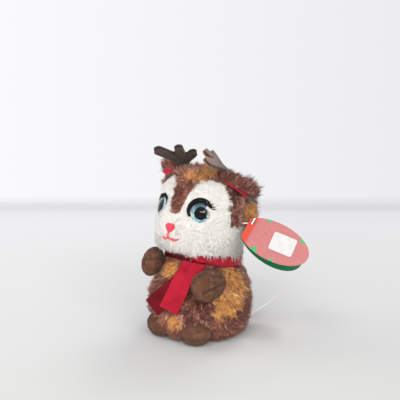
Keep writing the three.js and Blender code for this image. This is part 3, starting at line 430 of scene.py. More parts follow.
def grow(name, body, kind, roots, normals, comb, lengths, tones, seed):
    """Tapered strands that leave a surface, lean the way they are combed and gather into tufts."""
    slot, materials, coat = kind
    rng = np.random.default_rng(seed + 50)
    count = len(roots)
    leaders = rng.choice(count, max(count // coat["tuft"], 1), replace=False)
    tree = near_tree(roots[leaders])
    tuft = np.array([tree.find(p)[1] for p in roots])
    nearest = leaders[tuft]
    lean = coat["lean"] * rng.normal(size=(len(leaders), 3))[tuft]
    comb = unit(unit(comb) + lean)
    stray = coat["stray"] * rng.normal(size=(2, count, 3))
    rise = np.clip(coat["rise"] + 0.12 * rng.normal(size=len(leaders)), 0.3, 0.95)[tuft][:, None]
    start = unit(normals * rise + comb * (1 - rise) + stray[0])
    end = unit(normals * coat["fall"] + comb * (1 - coat["fall"]) + 1.5 * stray[1])
    lengths = np.broadcast_to(lengths, (count,))[:, None]
    lengths = lengths * (1 + 0.2 * rng.normal(size=(count, 1)).clip(-2, 2))
    lengths = lengths * rng.uniform(*coat["uneven"], len(leaders))[tuft][:, None]
    tips = roots + lengths * (start + end) / 2
    pull = (tips[nearest] - tips) * coat["gather"] * rng.uniform(0.6, 1, (count, 1))
    tones = np.where(rng.random(count) < 0.4, tones[nearest], tones)
    side = unit(np.cross(start, normals + 0.6 * rng.normal(size=(count, 3))))
    facing = np.cross(side, start)
    width = coat["width"] * rng.uniform(0.7, 1.3, (count, 1)) / 2
    rings = []
    for behind in (0, STRAND_DEPTH):
        for share, broad in coat["levels"]:
            centre = roots + lengths * (start * share + (end - start) * share * share / 2) + pull * share**1.4
            centre = centre - facing * behind
            if broad > 0:
                rings += [centre - side * width * broad, centre + side * width * broad]
            else:
                rings.append(centre)
    points = np.stack(rings, 1).reshape(-1, 3)
    points[:, 2] = np.maximum(points[:, 2], FLOOR_GAP)
    pairs = len(coat["levels"]) - 1
    per = len(rings)
    pattern, sizes = [], []
    for first, flip in ((0, 1), (per // 2, -1)):
        for k in range(pairs - 1):
            pattern += [first + 2 * k + i for i in (0, 1, 3, 2)[::flip]]
            sizes.append(4)
        pattern += [first + 2 * pairs + i for i in (-2, -1, 0)[::flip]]
        sizes.append(3)
    corners = ((np.arange(count) * per)[:, None] + np.array(pattern)).ravel()
    piece = mesh_piece(name, points, corners, np.tile(sizes, count), materials, np.repeat(tones, len(sizes)))
    towards = np.stack([facing] * (per // 2) + [-facing] * (per // 2), 1).reshape(-1, 3)
    shading = unit((1 - coat["relief"]) * np.repeat(normals, per, axis=0) + coat["relief"] * towards)
    piece.data.normals_split_custom_set_from_vertices(shading)
    dress(piece, body, slot)


def seen_at(tree, pixel):
    """The point of a surface that the camera sees at a pixel, or the nearest one just beside its outline."""
    x, y = pixel
    ray = -BACK + RIGHT * (x - MIDDLE_PIXEL) / FOCAL_PIXELS + UP * (MIDDLE_PIXEL - y) / FOCAL_PIXELS
    place, _, _, _ = tree.ray_cast(Vector(CAMERA_AT), Vector(ray).normalized())
    if place is None:
        place, _, _, _ = tree.find_nearest(Vector(CAMERA_AT + ray * (CAMERA_AT @ BACK)))
    return np.array(place)


def spots_on(tree, *spots):
    """Soft patches, each at a pixel or a place, with half sizes across, up and in depth for the camera."""
    return [(seen_at(tree, at) if len(at) == 2 else np.array(at), size) for at, size in spots]


def patched(points, spots, rough, seed):
    """How far inside a set of patches each point is: above 0 inside, with ragged edges."""
    best = np.full(len(points), -9.0)
    for centre, (across, up, deep) in spots:
        away = points - centre
        far = np.sqrt((away @ RIGHT / across) ** 2 + (away @ UP / up) ** 2 + (away @ BACK / deep) ** 2)
        best = np.maximum(best, 1 - far)
    return best + rough * wander(points, 7, seed) + 0.5 * rough * wander(points, 2.5, seed + 5)


def choose(rng, weights):
    """One tone for each point, from the tones' weights there."""
    total = np.cumsum(np.maximum(weights, 0), axis=1)
    return (rng.random((len(weights), 1)) * total[:, -1:] > total).sum(1)


def brown_tones(rng, gold, dark, rose):
    """Tones of the brown pile, from how golden, how dark and how rosy each place is."""
    golden = smoothstep(gold, -0.08, 0.12)[:, None]
    deep = smoothstep(dark, -0.1, 0.25)[:, None]
    rosy = smoothstep(rose, -0.05, 0.25)[:, None]
    plain = np.array([0.4, 0.27, 0.1, 0.17, 0.06, 0.0, 0.0, 0.0])
    shade = np.array([0.18, 0.34, 0.38, 0.06, 0.03, 0.0, 0.0, 0.01])
    shine = np.array([0.05, 0.05, 0.0, 0.05, 0.0, 0.45, 0.22, 0.18])
    blush = np.array([0.22, 0.12, 0.05, 0.34, 0.27, 0.0, 0.0, 0.0])
    brown = (plain * (1 - deep) + shade * deep) * (1 - rosy) + blush * rosy
    return choose(rng, brown * (1 - golden) + shine * golden)


def patched_tones(rng, roots, gold, dark, rose, seed):
    kinds = ((gold, 0.5, seed), (dark, 0.6, seed + 2), (rose, 0.6, seed + 5))
    return brown_tones(rng, *(patched(roots, *kind) for kind in kinds))


# Feet and arms
VELBOA = fabric("velboa", [(0.3, "#593929"), (0.5, "#704a36"), (0.72, "#88624b")], 5, 0.5, sheen=0.5)
NAP_COUNT = 14000


def nap(name, body, points, triangles, flow, seed, length):
    rng = np.random.default_rng(seed)
    roots, normals, _ = scattered(points, triangles, NAP_COUNT, rng)
    above = roots[:, 2] > 1
    roots, normals = roots[above], normals[above]
    comb = flat_to(np.array(flow) + 0.5 * swirl(roots, 6, 1.0, (0, 3, 6)), normals)
    shade = wander(roots, 5, seed)[:, None]
    weights = np.concatenate([np.full_like(shade, 0.5), 0.3 + 0.5 * shade, 0.25 - 0.4 * shade], 1)
    grow(name, body, NAP, roots, normals, comb, length, choose(rng, weights), seed)


def centre_of(node):
    low_corner, high_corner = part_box(node)
    return (np.array(low_corner) + np.array(high_corner)) / 2 / MM


def padded_skin(name, body, nodes, middle, level, slot, material, filler=None, folds=()):
    """A cushion of cloth over CAD solids, pressed in along folds seen from one pixel to another."""
    points, triangles, _ = wrapped(nodes, centre_of(middle), level, 3, filler)
    tree = tree_of(points, triangles)
    normals = point_normals(points, triangles)
    view = np.stack([RIGHT, UP], 1)
    for start_pixel, end_pixel, depth, width in folds:
        start, end = seen_at(tree, start_pixel) @ view, seen_at(tree, end_pixel) @ view
        run = unit(end - start)
        along = np.clip((points @ view - start) @ run, 0, np.linalg.norm(end - start))
        away = np.linalg.norm(points @ view - start - along[:, None] * run, axis=1)
        depth = depth * smoothstep(normals @ BACK, 0.1, 0.5) * np.exp(-((away / width) ** 2))
        points = points - normals * depth[:, None]
    piece = faces_piece(name, points, triangles, material, body, slot, *nodes)
    return points, triangles


LIMB_TREES = []
ARM_FOLDS = {
    "left": [((204, 294), (224, 284), 2.0, 1.3), ((203, 272), (222, 277), 1.4, 1.3)],
    "right": [((145, 259), (163, 257), 1.4, 1.2)],
}
FOOT_FOLDS = {"left": [((186, 333), (207, 330), 0.5, 1.2)], "right": []}
for side in SIDES:
    for limb, body, middle, folds, flow, seed, length in (
        ("foot", "body", "cover", FOOT_FOLDS, (0, -0.5, -0.4), 31, 0.9),
        ("arm", f"arm_{side}", "stuffing", ARM_FOLDS, (0, -0.3, -0.6), 33, 1.2),
    ):
        nodes = [f"{limb}_cover_{side}", f"{limb}_stuffing_{side}"]
        shape = padded_skin(
            f"{limb}_{side}", body, nodes, f"{limb}_{middle}_{side}", 5,
            "velboa", VELBOA, nodes[1], folds[side],
        )
        LIMB_TREES.append(tree_of(*shape))
        nap(f"{limb}_nap_{side}", body, *shape, flow, seed, length)


# Body: skin over the cover and its filling, open round the seat panel, with long pile
BODY_SET_IN = 0.8
body_points, body_triangles, _ = wrapped(
    ["body_cover", "seat_panel", "body_stuffing"], (0, 0, 28), 6, 4, "body_stuffing"
)
seat_rim = cad_shape("seat_panel")[0]
seat_rim = seat_rim[np.hypot(*seat_rim.T[:2]) > 20]
seat_rim = seat_rim[np.argsort(np.arctan2(seat_rim[:, 1], seat_rim[:, 0]))]


def seat_reach(angles):
    """Radius of the seat panel's rim at each angle about the middle."""
    rim_angles = np.arctan2(seat_rim[:, 1], seat_rim[:, 0])
    return np.interp(angles, rim_angles, np.hypot(*seat_rim.T[:2]), period=2 * math.pi)


body_angles = np.arctan2(body_points[:, 1], body_points[:, 0])
low = body_points[:, 2] < 0.6
body_points[low, 2] = np.maximum(body_points[low, 2], 0.25)
body_points[low & (np.hypot(*body_points.T[:2]) < seat_reach(body_angles) + 0.5), 2] = 1.9
body_normals = point_normals(body_points, body_triangles)
body_points -= BODY_SET_IN * smoothstep(body_points[:, 2], 3, 12)[:, None] * body_normals
body_tree = tree_of(body_points, body_triangles)

BACKING_STOPS = [(0.3, "#4a2c24"), (0.5, "#6b4334"), (0.7, "#7d5138")]
PLUSH_BACKING = fabric("plush_backing", BACKING_STOPS, 9, 0.7, relief=0.7)
WHITE_BACKING = fabric("white_backing", [(0.3, "#e6ded6"), (0.6, "#f3eee8")], 8, 0.6, relief=0.6)
body_plush = faces_piece(
    "body_plush", body_points, body_triangles, PLUSH_BACKING,
    "body", "brown_plush", "body_cover", "body_stuffing", "pellet_pouch",
)

BODY_GOLD = spots_on(
    body_tree,
    ((172, 268), (7, 6, 12)),
    ((153, 282), (6, 7, 14)),
    ((229, 288), (11, 17, 18)),
    ((222, 304), (9, 12, 14)),
    ((177, 322), (4, 6, 10)),
    ((151, 276), (4, 7, 12)),
    ((12.0, 36.0, 34.0), (13, 11, 14)),
    ((-33.0, 14.0, 22.0), (12, 12, 12)),
    ((-10.0, 33.0, 12.0), (11, 9, 12)),
)
BODY_ROSE = spots_on(
    body_tree,
    ((256, 300), (9, 18, 16)),
    ((182, 318), (5, 9, 10)),
    ((26.0, 20.0, 44.0), (12, 12, 14)),
    ((-12.0, 30.0, 46.0), (12, 10, 14)),
)
BODY_DARK = spots_on(
    body_tree,
    ((195, 310), (17, 14, 20)),
    ((185, 290), (12, 12, 18)),
    ((235, 312), (12, 7, 12)),
    ((-20.0, 28.0, 30.0), (12, 14, 14)),
)
RIBBON_TREE = tree_of(*cad_shape("scarf_tail_front", "scarf_tail_back")[:2])
ROOM_REACH = 9


def room_beside(points, normals):
    """How far each root is from the limbs and the ribbon: below 0 where a limb lies on it."""
    room = np.full(len(points), 99.0)
    for i, (point, normal) in enumerate(zip(points, normals)):
        for tree in LIMB_TREES:
            place, facing, _, distance = tree.find_nearest(Vector(point), ROOM_REACH)
            if place is None:
                continue
            under = tree.ray_cast(Vector(point - normal), Vector(normal), 6)[0] is not None
            inside = (Vector(point) - place).dot(facing) < 0
            room[i] = min(room[i], -1.0 if under or inside else distance)
        distance = RIBBON_TREE.find_nearest(Vector(point), ROOM_REACH)[3]
        if distance is not None:
            room[i] = min(room[i], distance)
    return room


def body_fur(name, seed):
    rng = np.random.default_rng(seed)
    roots, normals = smooth_scattered(body_points, body_triangles, body_normals, 31000, rng)
    height = (roots - NECK_ORIGIN) @ NECK_AXIS
    room = room_beside(roots, normals)
    kept = (roots[:, 2] > 1.5) & (height < -4.4) & (room > 0)
    roots, normals, height, room = roots[kept], normals[kept], height[kept], room[kept]
    drop = 0.55 + 0.9 * smoothstep(height, -12, -6)[:, None]
    comb = np.array((0.0, 0.0, -1.0)) * drop + 0.9 * swirl(roots, 16, 1.0, up_size=12, up_share=0.6)
    tones = patched_tones(rng, roots, BODY_GOLD, BODY_DARK, BODY_ROSE, 2.0)
    lengths = 5.2 * (1 - 0.45 * smoothstep(-roots[:, 2], -6, -1)) * (1 - 0.5 * smoothstep(height, -12, -6))
    lengths = np.minimum(lengths, 0.4 + 0.75 * room)
    grow(name, "body", BROWN, roots, normals, flat_to(comb, normals), lengths, tones, seed)


for part, seed in (("a", 11), ("b", 12), ("c", 13)):
    body_fur(f"body_pile_{part}", seed)


# Seat panel
SEAT_CLOTH = fabric("seat_cloth", [(0.35, "#4e3528"), (0.65, "#6a4a38")], 5, 0.35, relief=0.4, depth=0.1)
SEAT_TOP = 1.75


def seat_panel():
    rings, sides = 14, 72
    angles = 2 * math.pi * np.arange(sides) / sides
    points = [(0.0, 0.0, 0.25)]
    faces = [(0, 1 + (k + 1) % sides, 1 + k) for k in range(sides)]
    for r in range(1, rings + 1):
        share = r / rings
        radius = (seat_reach(angles) - 0.4) * share
        pucker = 0.05 * np.sin(18 * angles) * smoothstep(share, 0.78, 1)
        height = 0.12 + 1.2 * smoothstep(share, 0.93, 1) + pucker
        points += zip(radius * np.cos(angles), radius * np.sin(angles), height)
        for k in range(sides if r < rings else 0):
            a, b = 1 + (r - 1) * sides + k, 1 + (r - 1) * sides + (k + 1) % sides
            faces.append((a, b, b + sides, a + sides))
    both = points + [(x, y, SEAT_TOP) for x, y, _ in points]
    faces = closed(faces, len(points))
    piece = faces_piece("seat_cloth_panel", both, faces, SEAT_CLOTH, "body", "seat_cloth", "seat_panel")


seat_panel()


# Head: brown crown and white face, each a shell of cloth with its pile
CHEEK_SET_IN = 2.4
head_points, head_triangles, head_owner = wrapped(
    ["crown_cover", "face_panel", "head_stuffing"], (0.0, 0.0, 92.0), 6, 3
)
head_normals = point_normals(head_points, head_triangles)
head_tree = tree_of(head_points, head_triangles)

EYE = {
    "origin": np.array((17.93, -28.19, 102.30)),
    "x": np.array((0.8008, 0.5960, -0.0599)),
    "y": np.array((-0.2114, 0.3747, 0.9027)),
    "z": np.array((0.5604, -0.7102, 0.4260)),
}


def eye_axes(side):
    """An eye's middle, and its directions outwards from the nose, up and forwards."""
    origin, x, y, z = (EYE[key] * MIRROR[side] for key in ("origin", "x", "y", "z"))
    return origin, x * SIDES[side], y, z


# Each point of the head is crown or face; seats and seams go to what lies round them
unowned = (head_owner < 0) | (head_owner == 2)
head_white = filled_in(head_owner.astype(float), unowned, head_triangles, 30, round) > 0.5
STRIPE_END = seen_at(head_tree, (176, 215))[2]
STRIPE_TOP = STRIPE_END + 23
x_head, y_head, z_head = head_points.T
stripe_half = 3.6 + 0.17 * (z_head - STRIPE_END)
on_stripe = (z_head > STRIPE_END) & (z_head < STRIPE_TOP) & (y_head < 0) & (np.abs(x_head) < 12)
head_white = np.where(on_stripe, np.abs(x_head) > stripe_half, head_white)
head_white |= (x_head < -19) & (y_head < 3) & (z_head > 80) & (z_head < 110)
cheek = smoothstep(np.abs(x_head), 19, 28) * smoothstep(z_head, 112, 104) * head_white
for _ in range(6):
    cheek = neighbour_mean(cheek, head_triangles)
head_points -= CHEEK_SET_IN * cheek[:, None] * head_normals
head_normals = point_normals(head_points, head_triangles)
head_tree = tree_of(head_points, head_triangles)
is_white = head_white[head_triangles].sum(1) >= 2
white_triangles, brown_triangles = head_triangles[is_white], head_triangles[~is_white]
SHELL_THICKNESS = 1.2

for name, triangles, material, slot, nodes in (
    ("crown_plush", brown_triangles, PLUSH_BACKING, "brown_plush", ["crown_cover", "head_stuffing"]),
    ("face_plush", white_triangles, WHITE_BACKING, "white_plush", ["face_panel"]),
):
    used, faces = np.unique(triangles, return_inverse=True)
    outer = head_points[used]
    both = np.concatenate([outer, outer - SHELL_THICKNESS * head_normals[used]])
    faces = closed([tuple(face) for face in faces.reshape(-1, 3).tolist()], len(used))
    faces_piece(name, both, faces, material, "head", slot, *nodes)

HEAD_GOLD = spots_on(
    head_tree,
    ((210, 174), (8, 5, 14)),
    ((196, 180), (7, 4, 12)),
    ((249, 211), (7, 8, 12)),
    ((0.0, 36.0, 100.0), (14, 11, 14)),
    ((-22.0, 24.0, 112.0), (10, 9, 12)),
)
HEAD_ROSE = spots_on(
    head_tree,
    ((246, 210), (9, 14, 14)),
    ((190, 172), (10, 5, 14)),
    ((30.0, 22.0, 84.0), (12, 12, 12)),
    ((-12.0, 38.0, 84.0), (12, 12, 12)),
)
HEAD_DARK = spots_on(
    # The first patch, just below the left ear, is painted shadow.
    head_tree,
    ((240, 198), (9, 6, 12)),
    ((236, 215), (6, 8, 12)),
    ((178, 200), (5, 11, 9)),
    ((14.0, 34.0, 88.0), (13, 11, 14)),
)
EYE_DEPTH = 12


def clear_of_eyes(roots, normals, clear):
    """The roots that aren't within a distance of an eye's middle."""
    kept = np.ones(len(roots), bool)
    for side in SIDES:
        origin, x, y, z = eye_axes(side)
        away = roots - origin
        kept &= ~((np.hypot(away @ x, away @ y) < clear) & (away @ z > -EYE_DEPTH))
    return roots[kept], normals[kept]


def crown_fur(name, seed):
    rng = np.random.default_rng(seed)
    roots, normals = smooth_scattered(head_points, brown_triangles, head_normals, 28000, rng)
    roots, normals = clear_of_eyes(roots, normals, 8.3)
    back = smoothstep(roots[:, 1], -8, 25)[:, None]
    flow = (1 - back) * np.array((0.0, -0.35, 0.15)) + back * np.array((0.0, 0.15, -0.6))
    comb = flat_to(flow + 0.8 * swirl(roots, 14, 1.5, up_size=11, up_share=0.7), normals)
    tones = patched_tones(rng, roots, HEAD_GOLD, HEAD_DARK, HEAD_ROSE, 12.0)
    stripe = (np.abs(roots[:, 0]) < 9) & (roots[:, 1] < -20)
    lengths = np.where(stripe, 3.8, 5.6 - 1.0 * back[:, 0])
    grow(name, "head", BROWN, roots, normals, comb, lengths, tones, seed)


INNER_LEAN = 0.4
NOSE_MIDDLE = 90.4


def face_fur(name, seed):
    """Short white pile, brushed away from the nose, down over the jowls and in over the eyes' edges."""
    rng = np.random.default_rng(seed)
    roots, normals = smooth_scattered(head_points, white_triangles, head_normals, 31000, rng)
    roots, normals = clear_of_eyes(roots, normals, 7.5)
    off_nose = (np.hypot(roots[:, 0], roots[:, 2] - NOSE_MIDDLE) >= 3.2) | (roots[:, 1] >= -30)
    roots, normals = roots[off_nose], normals[off_nose]
    away = unit(roots - np.array((0.0, -46.0, 92.0)))
    height = (roots - NECK_ORIGIN) @ NECK_AXIS - NECK_SEAM
    jowl = smoothstep(height, 16, 5)[:, None]
    flow = away * (1 - jowl) + np.array((0, 0, -1.2)) * jowl + 0.5 * swirl(roots, 9, 21.5)
    socket = np.zeros(len(roots))
    for side in SIDES:
        origin, x, y, z = eye_axes(side)
        u, v = (roots - origin) @ x, (roots - origin) @ y
        flat = np.hypot(u, v)
        beside = np.abs(u / flat) ** 1.5 * np.where(u * SIDES[side] > 0, 1, INNER_LEAN)
        near = smoothstep(flat, 11.5, 8) * beside * ((roots - origin) @ z > -EYE_DEPTH)
        inward = -(x[None] * u[:, None] + y[None] * v[:, None]) / flat[:, None]
        flow = flow * (1 - near[:, None]) + 1.1 * inward * near[:, None]
        socket = np.maximum(socket, near)
        normals = unit(normals + 1.2 * near[:, None] * z)
    # More of the brightest white on the right side of the face: painted light.
    painted_light_side = smoothstep(-roots[:, 0], 10, 24)[:, None]
    weights = np.tile([0.42, 0.4, 0.14, 0.04], (len(roots), 1)) + jowl * np.array([-0.05, 0.0, 0.04, 0.01])
    weights += painted_light_side * np.array([-0.3, 0.5, -0.12, -0.03])
    beside_stripe = smoothstep(np.abs(roots[:, 0]), 8, 4.5) * (roots[:, 2] > STRIPE_END)
    lengths = 2.3 + 0.8 * jowl[:, 0] - 0.1 * smoothstep(height, 6, 0.5) + 1.4 * socket - 0.8 * beside_stripe
    grow(name, "head", WHITE, roots, normals, flat_to(flow, normals), lengths, choose(rng, weights), seed)


def fringe_fur(name, seed):
    """Longer ragged tufts along the lower edge of the face, short at the mouth."""
    rng = np.random.default_rng(seed)
    roots, normals = smooth_scattered(head_points, white_triangles, head_normals, 70000, rng)
    height = (roots - NECK_ORIGIN) @ NECK_AXIS - NECK_SEAM
    kept = height < 8.5
    roots, normals, height = roots[kept], normals[kept], height[kept]
    comb = flat_to(np.array((0, 0, -1.2)) + 0.8 * swirl(roots, 5, 31.5, up_share=0.5), normals)
    tones = choose(rng, np.tile([0.3, 0.28, 0.27, 0.15], (len(roots), 1)))
    lengths = (3.2 + 1.9 * smoothstep(height, 7, 2)) * (1 + 0.7 * wander(roots, 4.5, 40.0))
    lengths = lengths * (1 - 0.35 * smoothstep(-roots[:, 0], -8, 4))
    on_mouth = (np.abs(roots[:, 0]) < 10) & (roots[:, 1] < -25) & (roots[:, 2] > 79)
    lengths = np.where(on_mouth, 0.6, lengths)
    coat = {**WHITE_COAT, "tuft": 13, "gather": 0.45, "lean": 0.3, "uneven": (0.65, 1.25), "width": 0.32}
    grow(name, "head", (*WHITE[:2], coat), roots, normals, comb, lengths, tones, seed)


for part, seed in (("a", 21), ("b", 22)):
    crown_fur(f"crown_pile_{part}", seed)
for part, seed in (("a", 23), ("b", 24), ("c", 25)):
    face_fur(f"face_pile_{part}", seed)
fringe_fur("fringe_pile", 27)


# Tail
def tail_fur(name, points, triangles, seed):
    rng = np.random.default_rng(seed)
    roots, normals, _ = scattered(points, triangles, 9000, rng)
    comb = flat_to(np.tile((0.0, 0.6, 0.5), (len(roots), 1)), normals)
    none = np.full(len(roots), -1.0)
    tones = brown_tones(rng, none, wander(roots, 5, 2.0), none)
    grow(name, "body", BROWN, roots, normals, comb, 4.6, tones, seed)


tail_shape = padded_skin("tail_plush", "body", ["tail"], "tail", 4, "brown_plush", PLUSH_BACKING)
tail_fur("tail_pile", *tail_shape, 41)


# Copies of thin CAD solids, remeshed, with softened edges
def softened(name, node, body, slot, material, voxel, rounds, swell=0.0):
    points, triangles, _ = cad_shape(node)
    piece = faces_piece(name, points, triangles, material, body, slot, node)
    remesh = piece.modifiers.new("remesh", "REMESH")
    remesh.mode = "VOXEL"
    remesh.voxel_size = voxel * MM
    soften = piece.modifiers.new("soften", "SMOOTH")
    soften.factor = 0.5
    soften.iterations = rounds
    if swell:
        grow_out = piece.modifiers.new("swell", "DISPLACE")
        grow_out.strength = swell * MM
        grow_out.mid_level = 0
    mesh = bpy.data.meshes.new_from_object(piece.evaluated_get(bpy.context.evaluated_depsgraph_get()))
    piece.modifiers.clear()
    piece.data = mesh
    for polygon in mesh.polygons:
        polygon.use_smooth = True
    return piece


def satin(name, stops, roughness=0.4, painted_shade=None):
    """Satin cloth; the darker colour, if given, is painted shade that comes in round the neck's far front."""
    finish = Finish(name, Roughness=roughness, Specular_IOR_Level=0.15)
    place = finish.place()
    colour = finish.ramp(finish.noise(120, place), stops)
    if painted_shade:
        share = finish.span(finish.along(place, RIGHT, NECK_ORIGIN), -16 * MM, 4 * MM, 0, 1)
        colour = finish.mix(share, painted_shade, colour)
    finish.join("Base Color", colour)
    thread = finish.node("ShaderNodeTexWave", {"Vector": place, "Scale": 900.0, "Distortion": 0.6})
    finish.wear(finish.noise(260, place), roughness - 0.08, roughness + 0.1)
    finish.relief(thread.outputs["Fac"], 0.25, 0.05)
    return finish.material


# Ears
RED_STOPS = [(0.3, "#8a1022"), (0.6, "#9f162c")]
RED_SATIN = satin("red_satin", RED_STOPS)
# The band's satin turns darker round the neck's far front: painted shade.
BAND_SATIN = satin("band_satin", RED_STOPS, painted_shade="#520610")
# A darker copy of the red satin for the back ribbon end: painted shade.
SHADED_SATIN = satin("shaded_satin", [(0.3, "#55050e"), (0.6, "#660916")])
EAR_SATIN = satin("ear_satin", [(0.3, "#b81c32"), (0.6, "#cc2a40")])
EAR_ORIGIN = np.array((23.76, -1.77, 119.0))
EAR_COAT = {**LONG_COAT, "rise": 0.7, "fall": 0.5}
EAR_PILE = {"left": (6.2, 3.2), "right": (4.8, 1.8)}
EAR_SEED = 45

for side, (base, more) in EAR_PILE.items():
    body = f"ear_{side}"
    ear = softened(body, f"ear_back_{side}", body, "brown_plush", PLUSH_BACKING, 0.5, 3)
    lining = softened(f"ear_satin_{side}", f"ear_lining_{side}", body, "satin", EAR_SATIN, 0.3, 2)
    points, triangles = shape_of(ear.data)
    lining_points, _ = shape_of(lining.data)
    rng = np.random.default_rng(EAR_SEED)
    roots, normals, _ = scattered(points, triangles, 9000, rng)
    tree = near_tree(lining_points)
    gap = np.array([tree.find(p)[2] for p in roots])
    towards = normals @ unit(lining_points.mean(0) - points.mean(0))
    kept = ~((gap < 1.2) & (towards > 0.2))
    roots, normals = roots[kept], normals[kept]
    origin = EAR_ORIGIN * MIRROR[side]
    outward = unit(points.mean(0) - origin)
    reach = (roots - origin) @ outward
    comb = flat_to(outward + np.array((0.0, 0.0, 0.9)) + 0.5 * swirl(roots, 6, 2.0, (0, 3, 6)), normals)
    dark, rose = 0.5 * wander(roots, 6, 3.0) + 0.4, wander(roots, 7, 5.0) - 0.45
    tones = brown_tones(rng, np.full(len(roots), -1.0), dark, rose)
    lengths = base + more * smoothstep(reach, 5, 16)
    grow(f"ear_pile_{side}", body, (*BROWN[:2], EAR_COAT), roots, normals, comb, lengths, tones, EAR_SEED)


# Antlers: two soft layers each, darker along the seam between them
ANTLER_ORIGIN = np.array((22.51, 13.52, 117.0))
ANTLER_FACING = np.array((0.5349, 0.4949, 0.6848))
ANTLER_ALONG = np.array((-0.2423, -0.6867, 0.6854))
ANTLER_SLIM = 0.8
ANTLER_TURN = {"left": -11, "right": 0}
# The right antler's colours are darker than the left's: painted shade.
ANTLER_TONES_WITH_SHADE = {"left": ("#826858", "#2d1f18"), "right": ("#473932", "#1e1410")}


def antler_cloth(side, light, dark):
    flip = MIRROR[side]
    angle = math.radians(ANTLER_TURN[side])
    across = np.cross(ANTLER_ALONG, ANTLER_FACING)
    facing = (ANTLER_FACING * math.cos(angle) + across * math.sin(angle)) * flip
    finish = Finish(f"antler_cloth_{side}", Roughness=0.85, Specular_IOR_Level=0.2, Sheen_Weight=0.2)
    finish.shader.inputs["Sheen Roughness"].default_value = 0.45
    place = finish.place()
    height = finish.along(place, facing, ANTLER_ORIGIN * flip)
    edge = finish.span(finish.maths("ABSOLUTE", height), 0.3 * MM, 1.1 * MM, 0, 1)
    reach = finish.along(place, ANTLER_ALONG * flip, ANTLER_ORIGIN * flip)
    # Lighter towards the tips and darker at the root: painted light and shade.
    lit_tips = finish.span(reach, 12 * MM, 42 * MM, 0.1, 0.9)
    turn = Vector(ANTLER_ALONG * flip).to_track_quat("Z", "Y").inverted().to_euler()
    squeeze = finish.node("ShaderNodeMapping", {"Vector": place, "Rotation": turn, "Scale": (1, 1, 0.25)})
    streaks = finish.span(finish.noise(420, squeeze.outputs["Vector"], 4, 0.7), 0.35, 0.65, -0.35, 0.35)
    lit = finish.maths("MULTIPLY", edge, finish.maths("ADD", lit_tips, streaks))
    finish.join("Base Color", finish.mix(lit, dark, light))
    finish.relief(finish.noise(1600, place, 4, 0.7), 0.5, 0.25)
    return finish.material


for side, (light, dark) in ANTLER_TONES_WITH_SHADE.items():
    material = antler_cloth(side, light, dark)
    flip = MIRROR[side]
    turn = Matrix.Rotation(math.radians(ANTLER_TURN[side]), 3, Vector(ANTLER_ALONG * flip))
    for layer in ("top", "under"):
        name, node = f"antler_felt_{layer}_{side}", f"antler_{layer}_{side}"
        piece = softened(name, node, f"antler_{side}", "antler_cloth", material, 0.4, 4, 0.15)
        points, triangles = shape_of(piece.data)
        outward = flat_to(point_normals(points, triangles), np.tile(ANTLER_FACING * flip, (len(points), 1)))
        points = points - ANTLER_SLIM * outward - ANTLER_ORIGIN * flip
        points = points @ np.array(turn).T + ANTLER_ORIGIN * flip
        piece.data.vertices.foreach_set("co", (points * MM).astype(np.float32).ravel())
        piece.data.update()


# Eyes: glitter disc, pupil and clear dome
def coat_node(node, material):
    """Gives a CAD node a material of its own."""
    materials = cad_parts[node].data.materials
    materials.clear()
    materials.append(material)


def glitter():
    finish = Finish("glitter", Metallic=0.2, Roughness=0.35)
    place = finish.place()
    cells = finish.node("ShaderNodeTexVoronoi", {"Vector": place, "Scale": 1500.0}).outputs
    # Glitter lighter towards the lower left as the camera sees it and darker teal elsewhere: painted
    # highlight and painted shade over the glitter's own sparkle.
    lit_glitter = [(0.15, "#2f7f92"), (0.4, "#5aaabb"), (0.6, "#a6dde6"), (0.75, "#f6feff")]
    shaded_glitter = [(0.2, "#14303a"), (0.5, "#2c5866"), (0.8, "#5f95a2")]
    lower_left = -0.6 * RIGHT - 0.8 * UP
    share = finish.span(finish.along(place, lower_left, EYE["origin"]), -3.5 * MM, 5.5 * MM, 0, 1)
    lit_glitter, shaded_glitter = (finish.ramp(cells["Color"], stops) for stops in (lit_glitter, shaded_glitter))
    finish.join("Base Color", finish.mix(share, shaded_glitter, lit_glitter))
    finish.relief(cells["Distance"], 0.9, 0.2)
    return finish.material


GLITTER = glitter()
EYE_BLACK = Finish("eye_black", Base_Color=rgb("#08080c"), Roughness=0.5, Specular_IOR_Level=0.0)
EYE_BLACK.wear(EYE_BLACK.noise(300, EYE_BLACK.place()), 0.4, 0.6)
CLEAR = Finish("clear_dome", Base_Color=rgb("#f6fbfc"), Roughness=0.03, IOR=1.38, Transmission_Weight=1.0)


def lathe(axes, outline, sides=64):
    """An outline of (radius, height) turned about an eye's own axis; both its ends lie on the axis."""
    origin, x, y, z = axes
    points, rows = [], []
    for radius, height in outline:
        count = sides if radius else 1
        rows.append(range(len(points), len(points) + count))
        for angle in 2 * math.pi * np.arange(count) / sides:
            points.append(origin + (x * math.cos(angle) + y * math.sin(angle)) * radius + z * height)
    faces = []
    for below, above in zip(rows, rows[1:]):
        for k in range(sides):
            around = ((below, k), (below, k + 1), (above, k + 1), (above, k))
            faces.append(tuple(dict.fromkeys(row[i % len(row)] for row, i in around)))
    return points, faces


DISC_TOP = -0.5
LENS_BASE = -0.55
LENS_RISE = 2.1
EYE_RADIUS = 7.4
PUPIL_SHIFT = (0.7, -0.5)
PUPIL_OUTLINE = [(0, 0.02), (4.6, 0.02), (4.8, 0.12), (4.5, 0.22), (0, 0.26)]
DOME_RADIUS = (EYE_RADIUS**2 + LENS_RISE**2) / (2 * LENS_RISE)
DOME_STEPS = 15
dome_outline = [(0, LENS_BASE), (EYE_RADIUS - 0.25, LENS_BASE), (EYE_RADIUS, LENS_BASE + 0.15)]
for i in range(1, DOME_STEPS):
    angle = math.asin(EYE_RADIUS / DOME_RADIUS) * (1 - i / DOME_STEPS)
    fall = DOME_RADIUS * (1 - math.cos(angle))
    dome_outline.append((DOME_RADIUS * math.sin(angle), LENS_BASE + LENS_RISE - fall))
dome_outline.append((0, LENS_BASE + LENS_RISE))

